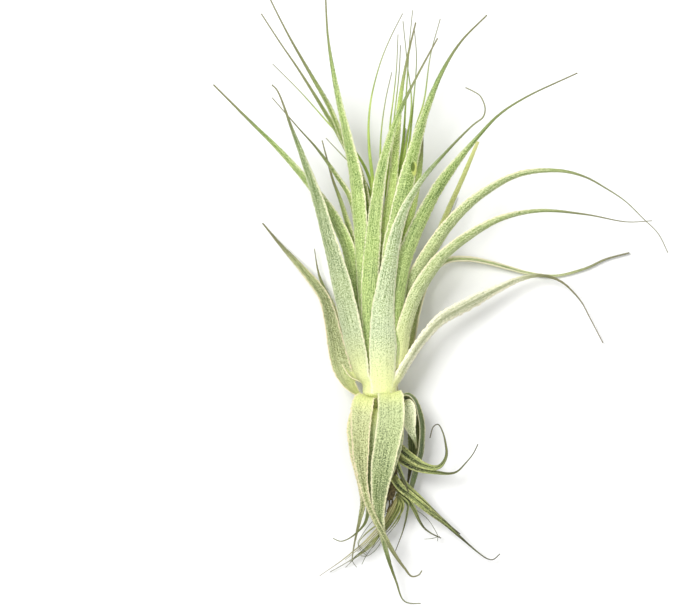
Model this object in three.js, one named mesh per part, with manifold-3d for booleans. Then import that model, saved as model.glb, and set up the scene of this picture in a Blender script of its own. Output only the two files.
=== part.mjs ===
// An air plant, Tillandsia gardneri, picked and laid on its side. Millimetres, +Z up.
// The plant's own axis runs along +Y, from the roots to the tip of the rosette. While the leaves
// are laid out, x = 0, y = 0 is the middle of the neck, where the rosette narrows, and z is the
// height above the surface that the plant lies on. At the end the whole plant is moved along
// x and y only, so that the origin is the middle of its footprint.
import * as THREE from "three";
import { mergeVertices } from "three/addons/utils/BufferGeometryUtils.js";
import Module from "manifold-3d";

const wasm = await Module();
wasm.setup();

// Driving dimensions
const NECK_HEIGHT = 17; // axis of the neck above the surface
const NECK_X = -0.8;
const RING_RADIUS = 6; // outermost ring of leaf bases
const RING_STEP = 1; // each further ring of bases stands this much further in
const RING_RISE = 1.4; // and this much further up the stem
const FIRST_RING_START = 0.6; // y where the outermost bases begin
const WHORL_RADIUS = [4.6, 3.9]; // where the two whorls of bent leaves leave the stem
const WHORL_Y = [-3.3, -7.2];
const LEAF_THICKNESS = 0.7;
const CLEARANCE = 0.3; // between neighbouring leaves
const CHANNEL = 1.35; // angle in radians that a blade's cross-section bends through
const BENT_CHANNEL = 0.8; // the same for the old leaves that are bent back
const TIP_CHANNEL = 0.5;
const ROOT_LENGTH = 7; // length over which a leaf's base widens or narrows into its blade
const TURN_LENGTH = 16; // length over which a blade turns about its midline
const WIDE = 3; // a blade at least this wide has four points across it, and a narrower one three
const SECTION_STEP = 9; // greatest distance between two cross-sections of a leaf, about

// A point on a ring round the neck's axis. Angles are in degrees: 0 is right, 90 is up,
// 180 is left and 270 is down towards the surface.
const onRing = (radius, at, y) => {
  const a = THREE.MathUtils.degToRad(at);
  return [NECK_X + radius * Math.cos(a), y, NECK_HEIGHT + radius * Math.sin(a)];
};

// The leaves of the rosette, the outermost and foremost first. at is where the base stands round
// the neck, ring counts the rings from the outside in, turn is how many degrees the blade turns
// about its midline above the base, root is the width of the base, widths are the blade's widths
// at even steps from base to tip, and path is the midline above the base.
const rosette = {
  front_leaf: {
    at: 84, ring: 1, root: 7.6,
    widths: [9, 10, 6.4, 3.8, 1.6, 0.8, 0.6],
    path: [
      [0, 14, 24.8], [0, 28, 28], [2.4, 45, 32], [5.6, 58.4, 36.5], [11.3, 70, 41.5],
      [21, 81.5, 46], [29.6, 90.1, 48], [33, 92.8, 48], [33.7, 95.2, 47.8], [33.3, 97.5, 47.4],
      [32, 100, 47], [30, 101.4, 46.6], [27.2, 102.8, 46],
    ],
  },
  front_left_leaf: {
    at: 154, ring: 1, root: 7, turn: -28,
    widths: [7.6, 8.8, 8.8, 6, 4.2, 2, 0.6],
    path: [
      [-8, 5.4, 20.6], [-9, 10, 22], [-10.3, 15.5, 24], [-13, 28, 26.5], [-16.2, 42, 28.5],
      [-19, 52.5, 30], [-22.5, 65.4, 32], [-27, 78.6, 35], [-31.2, 89.7, 37.5], [-36, 102.3, 39.5],
      [-37.8, 104.2, 40],
    ],
  },
  right_low_leaf_1: {
    at: 42, ring: 1, root: 4.6, turn: 28,
    widths: [5, 3.7, 3.6, 4.4, 5, 3.5, 1.8, 1, 0.7, 0.6, 0.6],
    path: [
      [5.2, 4.6, 20.6], [6.9, 7.6, 20.2], [8.9, 11, 19.4], [13.6, 17.9, 17.6], [20, 24.8, 15.4],
      [30.2, 30.5, 12.6], [40.8, 36, 10], [47.8, 39, 8.4], [54.9, 40.3, 7], [61.9, 38.4, 5.6],
      [69, 31.8, 4], [72.6, 25.5, 2.8], [77.3, 16.7, 1.4],
    ],
  },
  right_low_leaf_2: {
    at: 335, ring: 1, root: 4.6, turn: -10,
    widths: [4.6, 5, 5, 4.4, 2.6, 1.5, 0.6],
    path: [
      [7, 8, 13], [10.2, 17, 10.6], [12.2, 27, 8.6], [14.8, 36, 7], [18, 41.8, 5.8],
      [22.6, 45, 5], [30, 45.6, 4], [37.4, 44.4, 2.8], [44, 42.7, 1.5], [51, 41, 0.7],
      [61, 40.2, 0.25], [71.4, 42.8, 0.6], [78.3, 46, 0.7], [86.6, 48.3, 0.8],
    ],
  },
  left_low_leaf_2: {
    at: 207, ring: 1, root: 4.4, turn: 28,
    widths: [4.2, 4.2, 4.2, 3.6, 2.6, 1.4, 0.6],
    path: [
      [-10.4, 5.2, 12.8], [-13, 10, 11.4], [-14.5, 15.4, 9.8], [-15.6, 21, 8.2], [-17.3, 28, 6.4],
      [-20, 34.5, 4.9], [-22.4, 41.4, 3.6], [-23.8, 49.7, 2.8],
    ],
  },
  centre_left_leaf: {
    at: 120, ring: 2, root: 5, turn: -12,
    widths: [5.6, 6.6, 6.6, 5, 3.2, 1, 0.6],
    path: [
      [-3.8, 14, 22.8], [-4.8, 28, 24], [-4.8, 39, 24.6], [-4.1, 49, 25.4], [-2.4, 65.6, 27.4],
      [0, 79.3, 30], [4.5, 93.4, 33.5], [10.5, 106, 36.5], [18.1, 120, 39],
    ],
  },
  right_upper_leaf: {
    at: 64, ring: 2, root: 5, turn: 4,
    widths: [5.4, 6, 6.6, 6.4, 6.2, 5.8, 5.2, 4.2, 1.8, 1.1, 0.9, 0.7, 0.6],
    path: [
      [3.4, 14, 22.8], [4.4, 28, 24.8], [6, 39, 26.4], [7.6, 46, 27.6], [12.5, 58, 30],
      [19, 70.3, 33.5], [25.7, 79.5, 36], [31.4, 86.3, 38], [38.7, 94, 40], [47.4, 99.7, 41.5],
      [64.9, 107.9, 43],
    ],
  },
  right_arching_leaf_2: {
    at: 12, ring: 2, root: 4.6, turn: 46,
    widths: [5.2, 6.4, 6.4, 4.4, 2, 1.1, 0.6],
    path: [
      [5.6, 8, 18.8], [6.6, 14.5, 20.6], [7.5, 21.4, 23.2], [11.4, 33, 27.4], [15.6, 40.2, 29.4],
      [20.5, 46.4, 31.4], [29.8, 53.8, 34.5], [39.9, 59.2, 37], [52.6, 61.7, 38.5],
      [68.2, 60.5, 38.5], [82.1, 58.1, 36.5], [90.9, 58.5, 35],
    ],
  },
  far_left_leaf: {
    at: 167, ring: 2, root: 4, turn: -50,
    widths: [4.2, 5.2, 6, 4.8, 2.7, 1.5, 0.7],
    path: [
      [-7, 12, 17], [-9.4, 28, 15.8], [-10.2, 39, 17], [-12.2, 49, 19], [-15.8, 57.5, 21],
      [-20.6, 65, 23], [-27.5, 73.8, 25], [-36.4, 83.7, 27], [-45.6, 92.7, 29], [-57.9, 104.9, 31.5],
    ],
  },
  under_leaf_1: {
    at: 225, ring: 2, root: 4.6, turn: 10,
    widths: [4.6, 5, 5, 4.2, 3, 1.8, 0.6],
    path: [
      [-5.6, 9, 11.4], [-9, 20, 8.6], [-13, 32, 6], [-16.5, 45, 3.8], [-20, 58, 2],
      [-23, 70, 0.8], [-24.5, 76, 0.9],
    ],
  },
  tall_left_leaf: {
    at: 135, ring: 3, root: 4.2, turn: -12,
    widths: [4.4, 6, 6, 5.9, 2.9, 1.1, 0.6],
    path: [
      [-4.4, 14, 20.4], [-6, 25, 20.8], [-7.3, 42, 21.6], [-8.3, 57.5, 22.8], [-9.7, 73, 24.4],
      [-12.4, 86.6, 26], [-16.6, 106.2, 28], [-19, 121.8, 29.5], [-20, 142.5, 31],
    ],
  },
  tall_right_leaf: {
    at: 78, ring: 3, root: 3.8,
    widths: [4, 5.4, 6.2, 6.4, 3.4, 1.3, 0.6],
    path: [
      [1.4, 14, 21.6], [1.8, 30, 22.8], [2.8, 49, 24.4], [6, 63, 26], [9, 76.5, 28],
      [11.2, 85.2, 30], [14.6, 96.5, 32], [20.1, 109.6, 34.5], [26.2, 119.2, 36.5],
      [34.8, 127.9, 38],
    ],
  },
  right_arching_leaf_1: {
    at: 12, ring: 3, root: 4, turn: 48,
    widths: [4.6, 5.4, 6, 6.2, 6, 4.9, 3.9, 2.9, 1.6, 0.9, 0.7, 0.6, 0.6],
    path: [
      [5, 14, 18], [7, 28, 19.2], [11, 39, 21.5], [15.5, 47, 24.5], [23.4, 58.2, 28.5],
      [33, 67.2, 32], [46, 74.2, 34], [59.8, 75.4, 34], [68.4, 73.4, 33], [75.3, 69.8, 31.6],
      [82.2, 65.4, 30], [88.6, 59.5, 28], [94, 54.3, 26], [97.5, 47.9, 24],
    ],
  },
  under_leaf_2: {
    at: 255, ring: 3, root: 4,
    widths: [4.4, 6, 6, 5, 3.6, 2, 0.6],
    path: [
      [-2, 12, 11], [-4, 28, 8], [-6.5, 45, 5.4], [-9, 64, 2.6], [-10.5, 78, 0.9],
      [-11.5, 88, 0.25], [-12, 97, 0.8],
    ],
  },
  under_leaf_3: {
    at: 315, ring: 3, root: 4,
    widths: [4, 5, 5, 4, 2.8, 1.6, 0.6],
    path: [
      [4.6, 12, 12], [7.6, 24, 9.4], [12, 37, 6.6], [17.5, 50, 3.8], [22.5, 60, 1.8], [26, 68, 0.9],
    ],
  },
  tall_middle_leaf: {
    at: 90, ring: 4, root: 3,
    widths: [3, 4.4, 4.5, 3.9, 2.8, 1.3, 0.6],
    path: [
      [0.4, 14, 20.4], [0.8, 30, 21], [1.4, 57.5, 22.6], [3, 70, 24], [4.4, 86, 26],
      [6, 102, 28], [8.2, 114.5, 30], [10.9, 126, 32],
    ],
  },
  left_inner_leaf_1: {
    at: 150, ring: 4, root: 3, turn: -10,
    widths: [3, 4, 4, 3.8, 2.6, 1, 0.6],
    path: [
      [-4, 14, 18], [-5.4, 28, 17.6], [-7, 42, 18.2], [-9, 56, 19.2], [-11.4, 66.5, 20.4],
      [-16.6, 75, 22.5], [-22.8, 83.5, 24.2], [-28.6, 90, 25.5], [-38, 100.7, 28],
    ],
  },
  left_inner_leaf_2: {
    at: 210, ring: 4, root: 3, turn: -80,
    widths: [3, 3.6, 3.6, 3.4, 2.6, 1.4, 0.6],
    path: [
      [-4, 14, 14.8], [-5.8, 28, 14], [-7.8, 42, 14.8], [-10.7, 52.5, 16], [-14.8, 66.2, 17.6],
      [-17.3, 73, 18.6], [-19, 79, 19.6], [-21, 86.6, 20.6],
    ],
  },
  right_inner_leaf_2: {
    at: 330, ring: 4, root: 3, turn: 105,
    widths: [3, 3.4, 3.2, 2.4, 1.9, 1.7, 1.2],
    path: [
      [4, 14, 14.8], [6.4, 28, 14.6], [11, 38, 16.5], [16.4, 48, 19], [21.2, 60, 20.8],
      [26.8, 72.5, 22.5], [32.4, 86, 24],
    ],
  },
  under_leaf_4: {
    at: 270, ring: 4, root: 3,
    widths: [3, 4.6, 5, 4.4, 3, 1.8, 0.6],
    path: [[1, 14, 12.4], [2, 30, 9], [3.6, 48, 5.6], [5.6, 66, 2.4], [7, 80, 0.25], [8, 92, 0.8]],
  },
  upper_left_leaf_1: {
    at: 125, ring: 5, root: 2,
    widths: [2, 2.8, 3, 2.8, 2, 1, 0.6],
    path: [
      [-1.6, 16, 18.7], [-2.2, 30, 19], [-3.8, 48, 19.6], [-5.6, 64.5, 20.2], [-8, 75, 20.8],
      [-14.1, 87, 22], [-18.3, 97.3, 23.4], [-25.2, 109.4, 25.6], [-32.1, 121.4, 28],
      [-39, 135, 30], [-42, 142, 31],
    ],
  },
  upper_left_leaf_2: {
    at: 200, ring: 5, root: 2, turn: -90,
    widths: [2.4, 2.6, 2.6, 2.4, 1.6, 0.9, 0.6],
    path: [
      [-2.4, 16, 16], [-3.4, 30, 16.1], [-4.8, 48, 16.7], [-6.6, 64.5, 17.4], [-9.2, 76, 18.2],
      [-14.8, 87.6, 19.6], [-20, 96.3, 21], [-28.6, 110, 23.6], [-35.5, 120, 25.6],
      [-41.7, 129.4, 27.5],
    ],
  },
  right_inner_leaf_1: {
    at: 30, ring: 5, root: 2, turn: 30,
    widths: [2, 2.4, 3.4, 4.2, 4.2, 3.4, 0.6],
    path: [
      [2.6, 14, 18.2], [3.8, 30, 18.8], [6, 50, 20.7], [9.6, 62, 22.5], [12.1, 75, 24.2],
      [13.2, 84, 25.2], [13.4, 89.4, 26],
    ],
  },
};

// The old leaves below the neck leave the stem outwards and then bend back over it.
const bent = {
  bent_leaf_1: {
    at: 132, whorl: 0, root: 4.6, turn: 46,
    widths: [7.5, 8, 6.9, 6.1, 4.1, 2.6, 2.1, 2.2, 1.9, 1.3, 0.6],
    path: [
      [-4.6, -2, 22.2], [-6.2, -2.2, 24.2], [-7.2, -5, 25.4], [-7.8, -10, 25.8],
      [-7.9, -17, 25.2], [-7.7, -23.5, 23.6], [-7, -30.4, 21.6], [-5.6, -37, 19.6],
      [-4.1, -41, 18.2], [-2.2, -45, 17], [0.3, -49.6, 16], [3, -54.4, 15], [5.4, -58.2, 14.2],
      [7.6, -61.2, 13.6], [10, -64, 12.8], [12.4, -63.6, 12.4], [13.6, -62, 12.4],
    ],
  },
  bent_leaf_2: {
    at: 70, whorl: 0, root: 4.6, turn: -12,
    widths: [8.4, 9.3, 9.4, 8.9, 6.8, 4.6, 2.6, 1.9, 1.3, 0.9, 0.6],
    path: [
      [1.9, -1.4, 23], [2.3, -0.4, 24.8], [2.6, -2.6, 26.6], [2.6, -9, 27.4],
      [1.3, -16.6, 26.8], [0.1, -23.5, 25.2], [-0.9, -30.4, 22.6], [-1.4, -36, 19.8],
      [-1.2, -42, 16.6], [-0.5, -47, 14], [0.3, -51.5, 12], [1.8, -57.5, 10], [3.2, -62, 8.4],
      [4.8, -66.5, 7], [6.7, -72.2, 5.6], [8, -73.6, 5], [9.8, -74.2, 4.6], [13.4, -74.2, 4.4],
    ],
  },
  bent_leaf_3: {
    at: 8, whorl: 0, root: 4.6, turn: -46,
    widths: [4.6, 3.7, 3.7, 4.2, 4.8, 5.2, 2.8],
    path: [
      [6.6, -1.6, 17.6], [8.4, -1, 17.8], [10.6, -2.6, 17.4], [12.4, -7.1, 15.6],
      [13.3, -11.4, 13.6], [13.3, -16.8, 11.6], [12.8, -21.8, 10], [11.4, -27, 8.6],
      [10.3, -32, 7.8], [9.4, -36.6, 7],
    ],
  },
  left_low_leaf_1: {
    at: 194, whorl: 0, root: 4.6, turn: 40,
    widths: [6.4, 8.6, 7.4, 5.2, 4.2, 2.8, 0.9],
    path: [
      [-6.8, -2.4, 15.2], [-9.4, -0.8, 15], [-12, 2.2, 14.6], [-13.9, 6, 14.1], [-15.5, 11, 13.2],
      [-17, 18, 12], [-18.4, 25, 10.6], [-20.4, 32, 9.2], [-23, 36.2, 8.2], [-28.4, 42.8, 6.4],
      [-33, 48, 4.4], [-36.6, 52.1, 2.6], [-42, 58.7, 0.25],
    ],
  },
  bent_leaf_4: {
    at: 256, whorl: 0, root: 4.6, turn: 14,
    widths: [6, 7, 6.4, 5, 3.6, 2, 0.6],
    path: [
      [-1.6, -2.4, 10.4], [-1.9, -3, 8.6], [-2, -6, 7.6], [-1.6, -13, 5.2], [-0.6, -21, 2.2],
      [0.4, -28, 0.25], [1.4, -35, 0.5],
    ],
  },
  bent_leaf_5: {
    at: 318, whorl: 0, root: 4.6, turn: 28,
    widths: [6, 6.6, 6.2, 5, 3.4, 2, 0.6],
    path: [
      [5, -2, 12.6], [7, -2.2, 11.2], [9, -5, 10.2], [10.6, -12, 8], [10.6, -20, 5.4],
      [9.6, -28, 3], [8.4, -35, 1.4],
    ],
  },
  bent_leaf_6: {
    at: 122, whorl: 1, root: 3.4, turn: 26,
    widths: [4.6, 5.2, 4.6, 3.2, 1.8, 1, 0.6],
    path: [
      [-2.8, -5.6, 21.4], [-3.2, -6, 22.6], [-3.5, -9, 23], [-3.8, -14, 22.6],
      [-4.4, -20, 21.4], [-4.8, -27, 19.4], [-4.9, -34, 16.8], [-5, -40, 14.2],
      [-5.4, -43, 13], [-6.4, -46, 11.8], [-8.6, -48.6, 10.8], [-11.7, -51.1, 10],
      [-14.6, -52.1, 9.6], [-17.3, -51.1, 9.4],
    ],
  },
  bent_leaf_7: {
    at: 65, whorl: 1, root: 3.4, turn: -17,
    widths: [5, 5.6, 5.4, 4.2, 2.6, 1.2, 0.6],
    path: [
      [2.9, -5.6, 21.6], [3.9, -6, 22.8], [4.7, -9, 23.4], [4.8, -14, 22.8], [4.2, -20, 21.4],
      [2.8, -27, 19], [1.4, -34, 16], [0.8, -42, 13],
    ],
  },
  bent_leaf_8: {
    at: 18, whorl: 1, root: 3.2, turn: -58,
    widths: [4, 4.4, 4.9, 5.2, 5.2, 4.2, 2.8, 1.4, 0.6],
    path: [
      [5.6, -5.6, 19.4], [7, -4.2, 20.8], [8.2, -4.6, 21.8], [8.7, -7, 21.8], [8.9, -10, 21.2],
      [9.8, -13.3, 20.4], [11, -17, 19], [11.6, -19.4, 18],
    ],
  },
  bent_leaf_9: {
    at: 175, whorl: 1, root: 3.2, turn: 60,
    widths: [5, 5.4, 4.4, 3.2, 2.1, 1.3, 0.6],
    path: [
      [-6, -6.6, 17.4], [-8.4, -6, 17.8], [-9.6, -7.6, 18], [-10, -12, 17.8], [-9.2, -22, 16],
      [-7.4, -32, 13], [-6.7, -38, 11.2], [-7.9, -44.5, 9.6], [-9.4, -51, 8],
      [-10.2, -55.4, 7.2], [-10.6, -58.6, 6.8],
    ],
  },
  bent_leaf_10: {
    at: 224, whorl: 1, root: 3.2,
    widths: [4.6, 5.2, 4.6, 3.4, 2.4, 1.6, 0.6],
    path: [
      [-4.6, -6, 12.8], [-6, -6.6, 11.4], [-6.8, -10, 10.2], [-6.6, -18, 7.6],
      [-5.6, -26, 4.6], [-4.6, -33, 2.2], [-4, -38, 1.2],
    ],
  },
};

// The small old leaves at the foot have dried and curled. Each path begins at the stem's surface.
const curled = {
  curled_leaf_1: {
    at: 85, widths: [3.4, 3.2, 2.2, 1.2, 0.8, 0.6, 0.6],
    path: [
      [4.9, -18.6, 16], [8, -21.4, 15.8], [11, -23.6, 15.2], [13.5, -25.2, 14.6],
      [17, -26.3, 14], [19.4, -26, 13.8], [21, -24.4, 14], [22, -21.7, 14.6], [21.6, -17.6, 15.6],
      [20.6, -13.8, 16.4], [19, -11.2, 16.8], [17.4, -12, 16.8], [16.2, -15.9, 16.4],
    ],
  },
  curled_leaf_2: {
    at: 85, widths: [2.8, 2.8, 2, 1.2, 0.8, 0.6, 0.6],
    path: [
      [4.9, -22.4, 13.8], [7, -24, 13.2], [9.4, -25.4, 13], [12.8, -26.8, 12.8],
      [16.2, -27.6, 12], [23.1, -28.5, 10.5], [25.9, -27.8, 9.8], [28.6, -25.2, 9.6],
      [31.4, -21.7, 10], [33.1, -18.3, 10.4],
    ],
  },
  curled_leaf_3: {
    at: 70, widths: [2, 1.8, 1.6, 1.2, 0.6],
    path: [[3.9, -22, 18.3], [5, -25.4, 18.4], [6.4, -28.8, 18], [7.8, -32, 17.2], [8.8, -34.6, 16.4]],
  },
  curled_leaf_4: {
    at: 80, widths: [3, 3, 2.5, 1.8, 1, 0.7, 0.6],
    path: [
      [3.4, -29, 17.2], [5.9, -32.7, 15.6], [9.4, -35.7, 13.6], [16.4, -41.6, 10.6],
      [21.7, -45.8, 8.4], [27, -50.8, 6.4], [34.1, -57, 4], [36.9, -58.8, 3.4],
      [38.7, -59, 3.4], [41.1, -57, 3.8],
    ],
  },
  curled_leaf_5: {
    at: 80, widths: [2.4, 2.4, 2, 1.5, 1, 0.7, 0.6],
    path: [
      [6, -30.2, 13.4], [8.7, -33.3, 12.2], [13, -37.2, 10.2], [18.2, -42.1, 7.8],
      [23.5, -46.9, 5.4], [27.1, -50, 4],
    ],
  },
  curled_leaf_6: {
    at: 75, widths: [1.8, 1.7, 1.5, 1.1, 0.8, 0.6],
    path: [
      [4.6, -33.4, 12.2], [6.1, -34.9, 11.2], [7.7, -36.4, 10.4], [9.5, -38.5, 9.6],
      [11.2, -41.6, 8.4], [12.7, -44.9, 7], [14.5, -47.7, 5.8], [17, -49.7, 5], [20.4, -51.4, 4.4],
    ],
  },
  curled_leaf_7: {
    at: 70, widths: [1.8, 1.6, 1.2, 0.9, 0.6],
    path: [
      [4.4, -35.8, 12.4], [6.6, -37.1, 12.3], [8.5, -39, 11.4], [8.3, -42.5, 10], [7, -48.6, 8.6],
      [4.5, -55.7, 7],
    ],
  },
};

// The slender young leaves all come out of one bud in the middle of the rosette.
const YOUNG_WIDTHS = [1.6, 1.5, 1.4, 1.1, 0.8, 0.7, 0.6];
const youngPaths = [
  [
    [0, 36, 18.6], [-1.8, 52, 19], [-3.6, 73, 19.8], [-4.8, 84, 20.8], [-5, 92, 21.5],
    [-4.1, 101, 22.2], [-1, 113, 23.4], [2.4, 121.4, 24.4], [6.6, 129.7, 25.4],
  ],
  [[0.4, 36, 18.8], [-0.4, 60, 19.6], [-0.9, 85.6, 21.4], [0.7, 99.7, 22.8], [2.9, 109.7, 24]],
  [[0.8, 36, 19], [1, 60, 20], [2.4, 92, 22.6], [3.5, 101, 23.4], [4.5, 111, 24.6], [5, 122.5, 26]],
  [[1, 36, 18.6], [1.4, 60, 19.3], [3.2, 88, 21], [5.5, 110.4, 22.8], [5.9, 119, 23.8]],
  [[1.2, 36, 18.8], [3.8, 60, 19.5], [8, 86, 21.6], [9.7, 99, 22.7], [8.3, 112, 24], [6.7, 127, 26]],
  [[1.2, 36, 18.5], [2.8, 60, 18.8], [6.6, 84, 20.4], [8, 104, 22.2], [9, 120, 24], [10, 130.8, 25.4]],
  [[1.3, 36, 18.3], [4.4, 60, 18.6], [8.6, 83, 20.2], [10.5, 101, 21.8], [11.4, 114.5, 23.2],
    [10.7, 124, 24.2]],
  [[1.4, 36, 18], [5.4, 60, 18], [11, 90, 20.4], [14, 100, 21.3], [16.2, 115.6, 23], [19.5, 128, 24.8]],
  [[-0.2, 36, 18], [-2.6, 60, 17.4], [-4.8, 74, 17.2], [-9.7, 83, 17.4], [-18.3, 92.1, 17.8],
    [-28.6, 103.5, 19.6], [-38, 112.8, 21.6]],
  [[0, 36, 17.6], [-3, 58, 16.4], [-4.9, 70, 16.1], [-8.4, 76.2, 16.1], [-13.1, 80.7, 16.6],
    [-19.7, 87.6, 17.4]],
];
const BUD = [[0, 9, 17.2, 1.1], [0.3, 22, 17.8, 1.3], [0.8, 38, 18.5, 1.2], [1, 44, 18.8, 0.8]];

// Withered leaf ends and thin roots at the foot, each a path in from the same root.
const SPRAY_WIDTHS = [2, 1.8, 1.5, 1.1, 0.8, 0.6];
const sprayPaths = [
  [
    [5.4, -36.2, 14], [4.4, -38.6, 12.9], [3.3, -41, 11.8], [1.6, -44.6, 9.6], [-1.9, -48.8, 7],
    [-5.8, -53, 5.4], [-9.6, -56.3, 4], [-13.1, -59.2, 3], [-21.1, -64.9, 1.4],
  ],
  [
    [5.4, -36.2, 14], [5.4, -38.6, 12.9], [4.8, -40.8, 11.6], [2.9, -44.4, 9.4], [1, -47.4, 7.8],
    [-0.9, -50.4, 6.4], [-4.4, -54.8, 4.8], [-11.3, -59.9, 2.4], [-17.6, -63.6, 1.2],
  ],
  [
    [5.4, -36.2, 14], [6.3, -38.6, 12.9], [6, -40.9, 11], [4.4, -44, 9.2], [1.8, -47.8, 7.2],
    [-2.1, -51.6, 5.2], [-7.1, -56.8, 3.2], [-12.1, -62, 1.2],
  ],
  [
    [5.4, -36.2, 14], [6.8, -38.6, 12.9], [6.5, -41.2, 10.4], [5.6, -44.6, 8.6], [3.5, -48, 7],
    [1.4, -50.6, 5.8],
  ],
  [
    [5.4, -36.2, 14], [4.4, -38.6, 12.6], [3, -41.4, 11.2], [0.6, -45, 9], [-3.9, -47.9, 7.8],
    [-7.9, -52, 6.6], [-8.5, -53.9, 6.2], [-7.5, -55.7, 5.8], [-5.4, -57.6, 5.4],
  ],
];

// The stem: y, x of the axis, height of the axis, radius. Below the neck it widens into the disc
// that the leaf bases stand on, and above it ends in a cone between the rings.
const STEM = [
  [-37.4, 2.5, 12.9, 0.8], [-35.6, 2.7, 13.3, 1.5], [-30, 3.2, 14.3, 1.9], [-22, 2.2, 15.4, 2.3],
  [-14, 0.9, 16.4, 2.7], [-8.6, -0.1, 16.8, 2.9], [-5, -0.8, 17, 3.2], [-4.2, -0.8, 17, 3.5],
  [-2.4, -0.8, 17, 5], [-0.9, -0.8, 17, 6.3], [-0.4, -0.8, 17, 6.1], [1.3, -0.8, 17, 4.9],
  [2.7, -0.8, 17, 3.9], [4.1, -0.8, 17, 2.9], [5.5, -0.8, 17, 1.9], [6.9, -0.8, 17, 0.9],
];
const STEM_SIDES = 12;
const ROOT_RADIUS = 0.45;
const ROOT_SIDES = 6;
const rootPaths = [
  [[2.6, -35, 12.6], [1.5, -37.8, 11.4], [0.7, -39.6, 10.8], [0.3, -41.4, 10.2]],
  [[2.2, -36, 12.8], [2.3, -39.4, 12.2], [1.5, -41.8, 11.6]],
  [[3, -36, 13.4], [3.3, -38.2, 13.8], [2.8, -39.8, 13.4]],
  [[3.4, -32, 15.4], [2.4, -34.8, 16.2], [1.6, -36.6, 15.2]],
];

const smooth = (t) => THREE.MathUtils.smoothstep(t, 0, 1);

// The value at a fraction s of the length, from numbers at even steps along it.
const along = (values, s) => {
  const place = Math.min(Math.max(s, 0), 1) * (values.length - 1);
  const i = Math.min(Math.floor(place), values.length - 2);
  return THREE.MathUtils.lerp(values[i], values[i + 1], place - i);
};

// A closed solid through rings of equal size. Each ring is a list of points that runs
// clockwise seen along the path; the ends are closed by strips between its two halves.
const closedLoft = (rings) => {
  const n = rings[0].length;
  const index = [];
  for (let k = 0; k + 1 < rings.length; k++)
    for (let i = 0; i < n; i++) {
      const j = (i + 1) % n;
      const [a, b, c, d] = [k * n + i, k * n + j, (k + 1) * n + j, (k + 1) * n + i];
      index.push(a, c, b, a, d, c);
    }
  const end = (rings.length - 1) * n;
  for (let i = 0; i + 1 < n / 2; i++) {
    const [a, b, c, d] = [i, i + 1, n - 2 - i, n - 1 - i];
    index.push(a, b, c, a, c, d, end + a, end + c, end + b, end + a, end + d, end + c);
  }
  return new THREE.BufferGeometry()
    .setAttribute("position", new THREE.Float32BufferAttribute(rings.flat(2), 3))
    .setIndex(index);
};

const solidOf = (geometry) => {
  const bare = geometry.clone();
  bare.deleteAttribute("normal");
  bare.deleteAttribute("uv");
  const merged = mergeVertices(bare, 1e-4);
  return new wasm.Manifold(
    new wasm.Mesh({
      numProp: 3,
      vertProperties: merged.attributes.position.array,
      triVerts: new Uint32Array(merged.index.array),
    }),
  );
};

const largestBody = (solid) =>
  solid.decompose().reduce((best, body) => (body.volume() > best.volume() ? body : best));

// Where along a curve the cross-sections stand: at each of its points, and between two points
// that lie far apart.
const sectionPlaces = (points) => {
  const places = [0];
  const stretches = points.length - 1;
  for (let i = 0; i < stretches; i++) {
    const parts = Math.max(1, Math.round(points[i].distanceTo(points[i + 1]) / SECTION_STEP));
    for (let j = 1; j <= parts; j++) places.push((i + j / parts) / stretches);
  }
  return places;
};

// A leaf: a blade of even thickness whose cross-section is an arc. Its hollow side faces the
// plant's axis at the base. grow makes it larger all round, for clearing a space for it.
const leafSolid = (leaf, grow = 0) => {
  const curve = new THREE.CatmullRomCurve3(
    leaf.path.map((p) => new THREE.Vector3(...p)), false, "centripetal",
  );
  const places = sectionPlaces(curve.points);
  const points = places.map((t) => curve.getPoint(t));
  const tangents = places.map((t) => curve.getTangent(t));
  const lengths = points.map(() => 0);
  for (let i = 1; i < points.length; i++)
    lengths[i] = lengths[i - 1] + points[i].distanceTo(points[i - 1]);
  const last = points.length - 1;
  const total = lengths[last];
  const acrossCount = Math.max(...leaf.widths) < WIDE ? 3 : 4;
  const at = THREE.MathUtils.degToRad(leaf.at);
  const across = new THREE.Vector3(-Math.sin(at), 0, Math.cos(at));
  const rings = points.map((point, i) => {
    const tangent = tangents[i];
    across.addScaledVector(tangent, -across.dot(tangent)).normalize();
    const turned = smooth(lengths[i] / TURN_LENGTH) * (leaf.turn ?? 0);
    const side = across.clone().applyAxisAngle(tangent, -THREE.MathUtils.degToRad(turned));
    const inward = side.clone().cross(tangent);
    const s = lengths[i] / total;
    const blade = along(leaf.widths, s);
    const width = THREE.MathUtils.lerp(leaf.root ?? blade, blade, smooth(lengths[i] / ROOT_LENGTH));
    const base = leaf.root ? leaf.root / leaf.radius : leaf.channel;
    const bladeBend = THREE.MathUtils.lerp(leaf.channel, TIP_CHANNEL, smooth(s * 1.6 - 0.6));
    const bend = THREE.MathUtils.lerp(base, bladeBend, smooth(lengths[i] / ROOT_LENGTH));
    const radius = width / bend;
    const centre = point.clone().addScaledVector(inward, radius);
    if (i === 0) centre.addScaledVector(tangent, -grow);
    if (i === last) centre.addScaledVector(tangent, grow);
    const half = bend / 2 + grow / radius;
    const thick = LEAF_THICKNESS / 2 + grow;
    const arc = (r, from, to) =>
      Array.from({ length: acrossCount }, (_, j) => {
        const a = THREE.MathUtils.lerp(from, to, j / (acrossCount - 1));
        return centre.clone()
          .addScaledVector(side, Math.sin(a) * r)
          .addScaledVector(inward, -Math.cos(a) * r)
          .toArray();
      });
    return [...arc(radius + thick, -half, half), ...arc(Math.max(radius - thick, 0.05), half, -half)];
  });
  return solidOf(closedLoft(rings));
};

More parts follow.
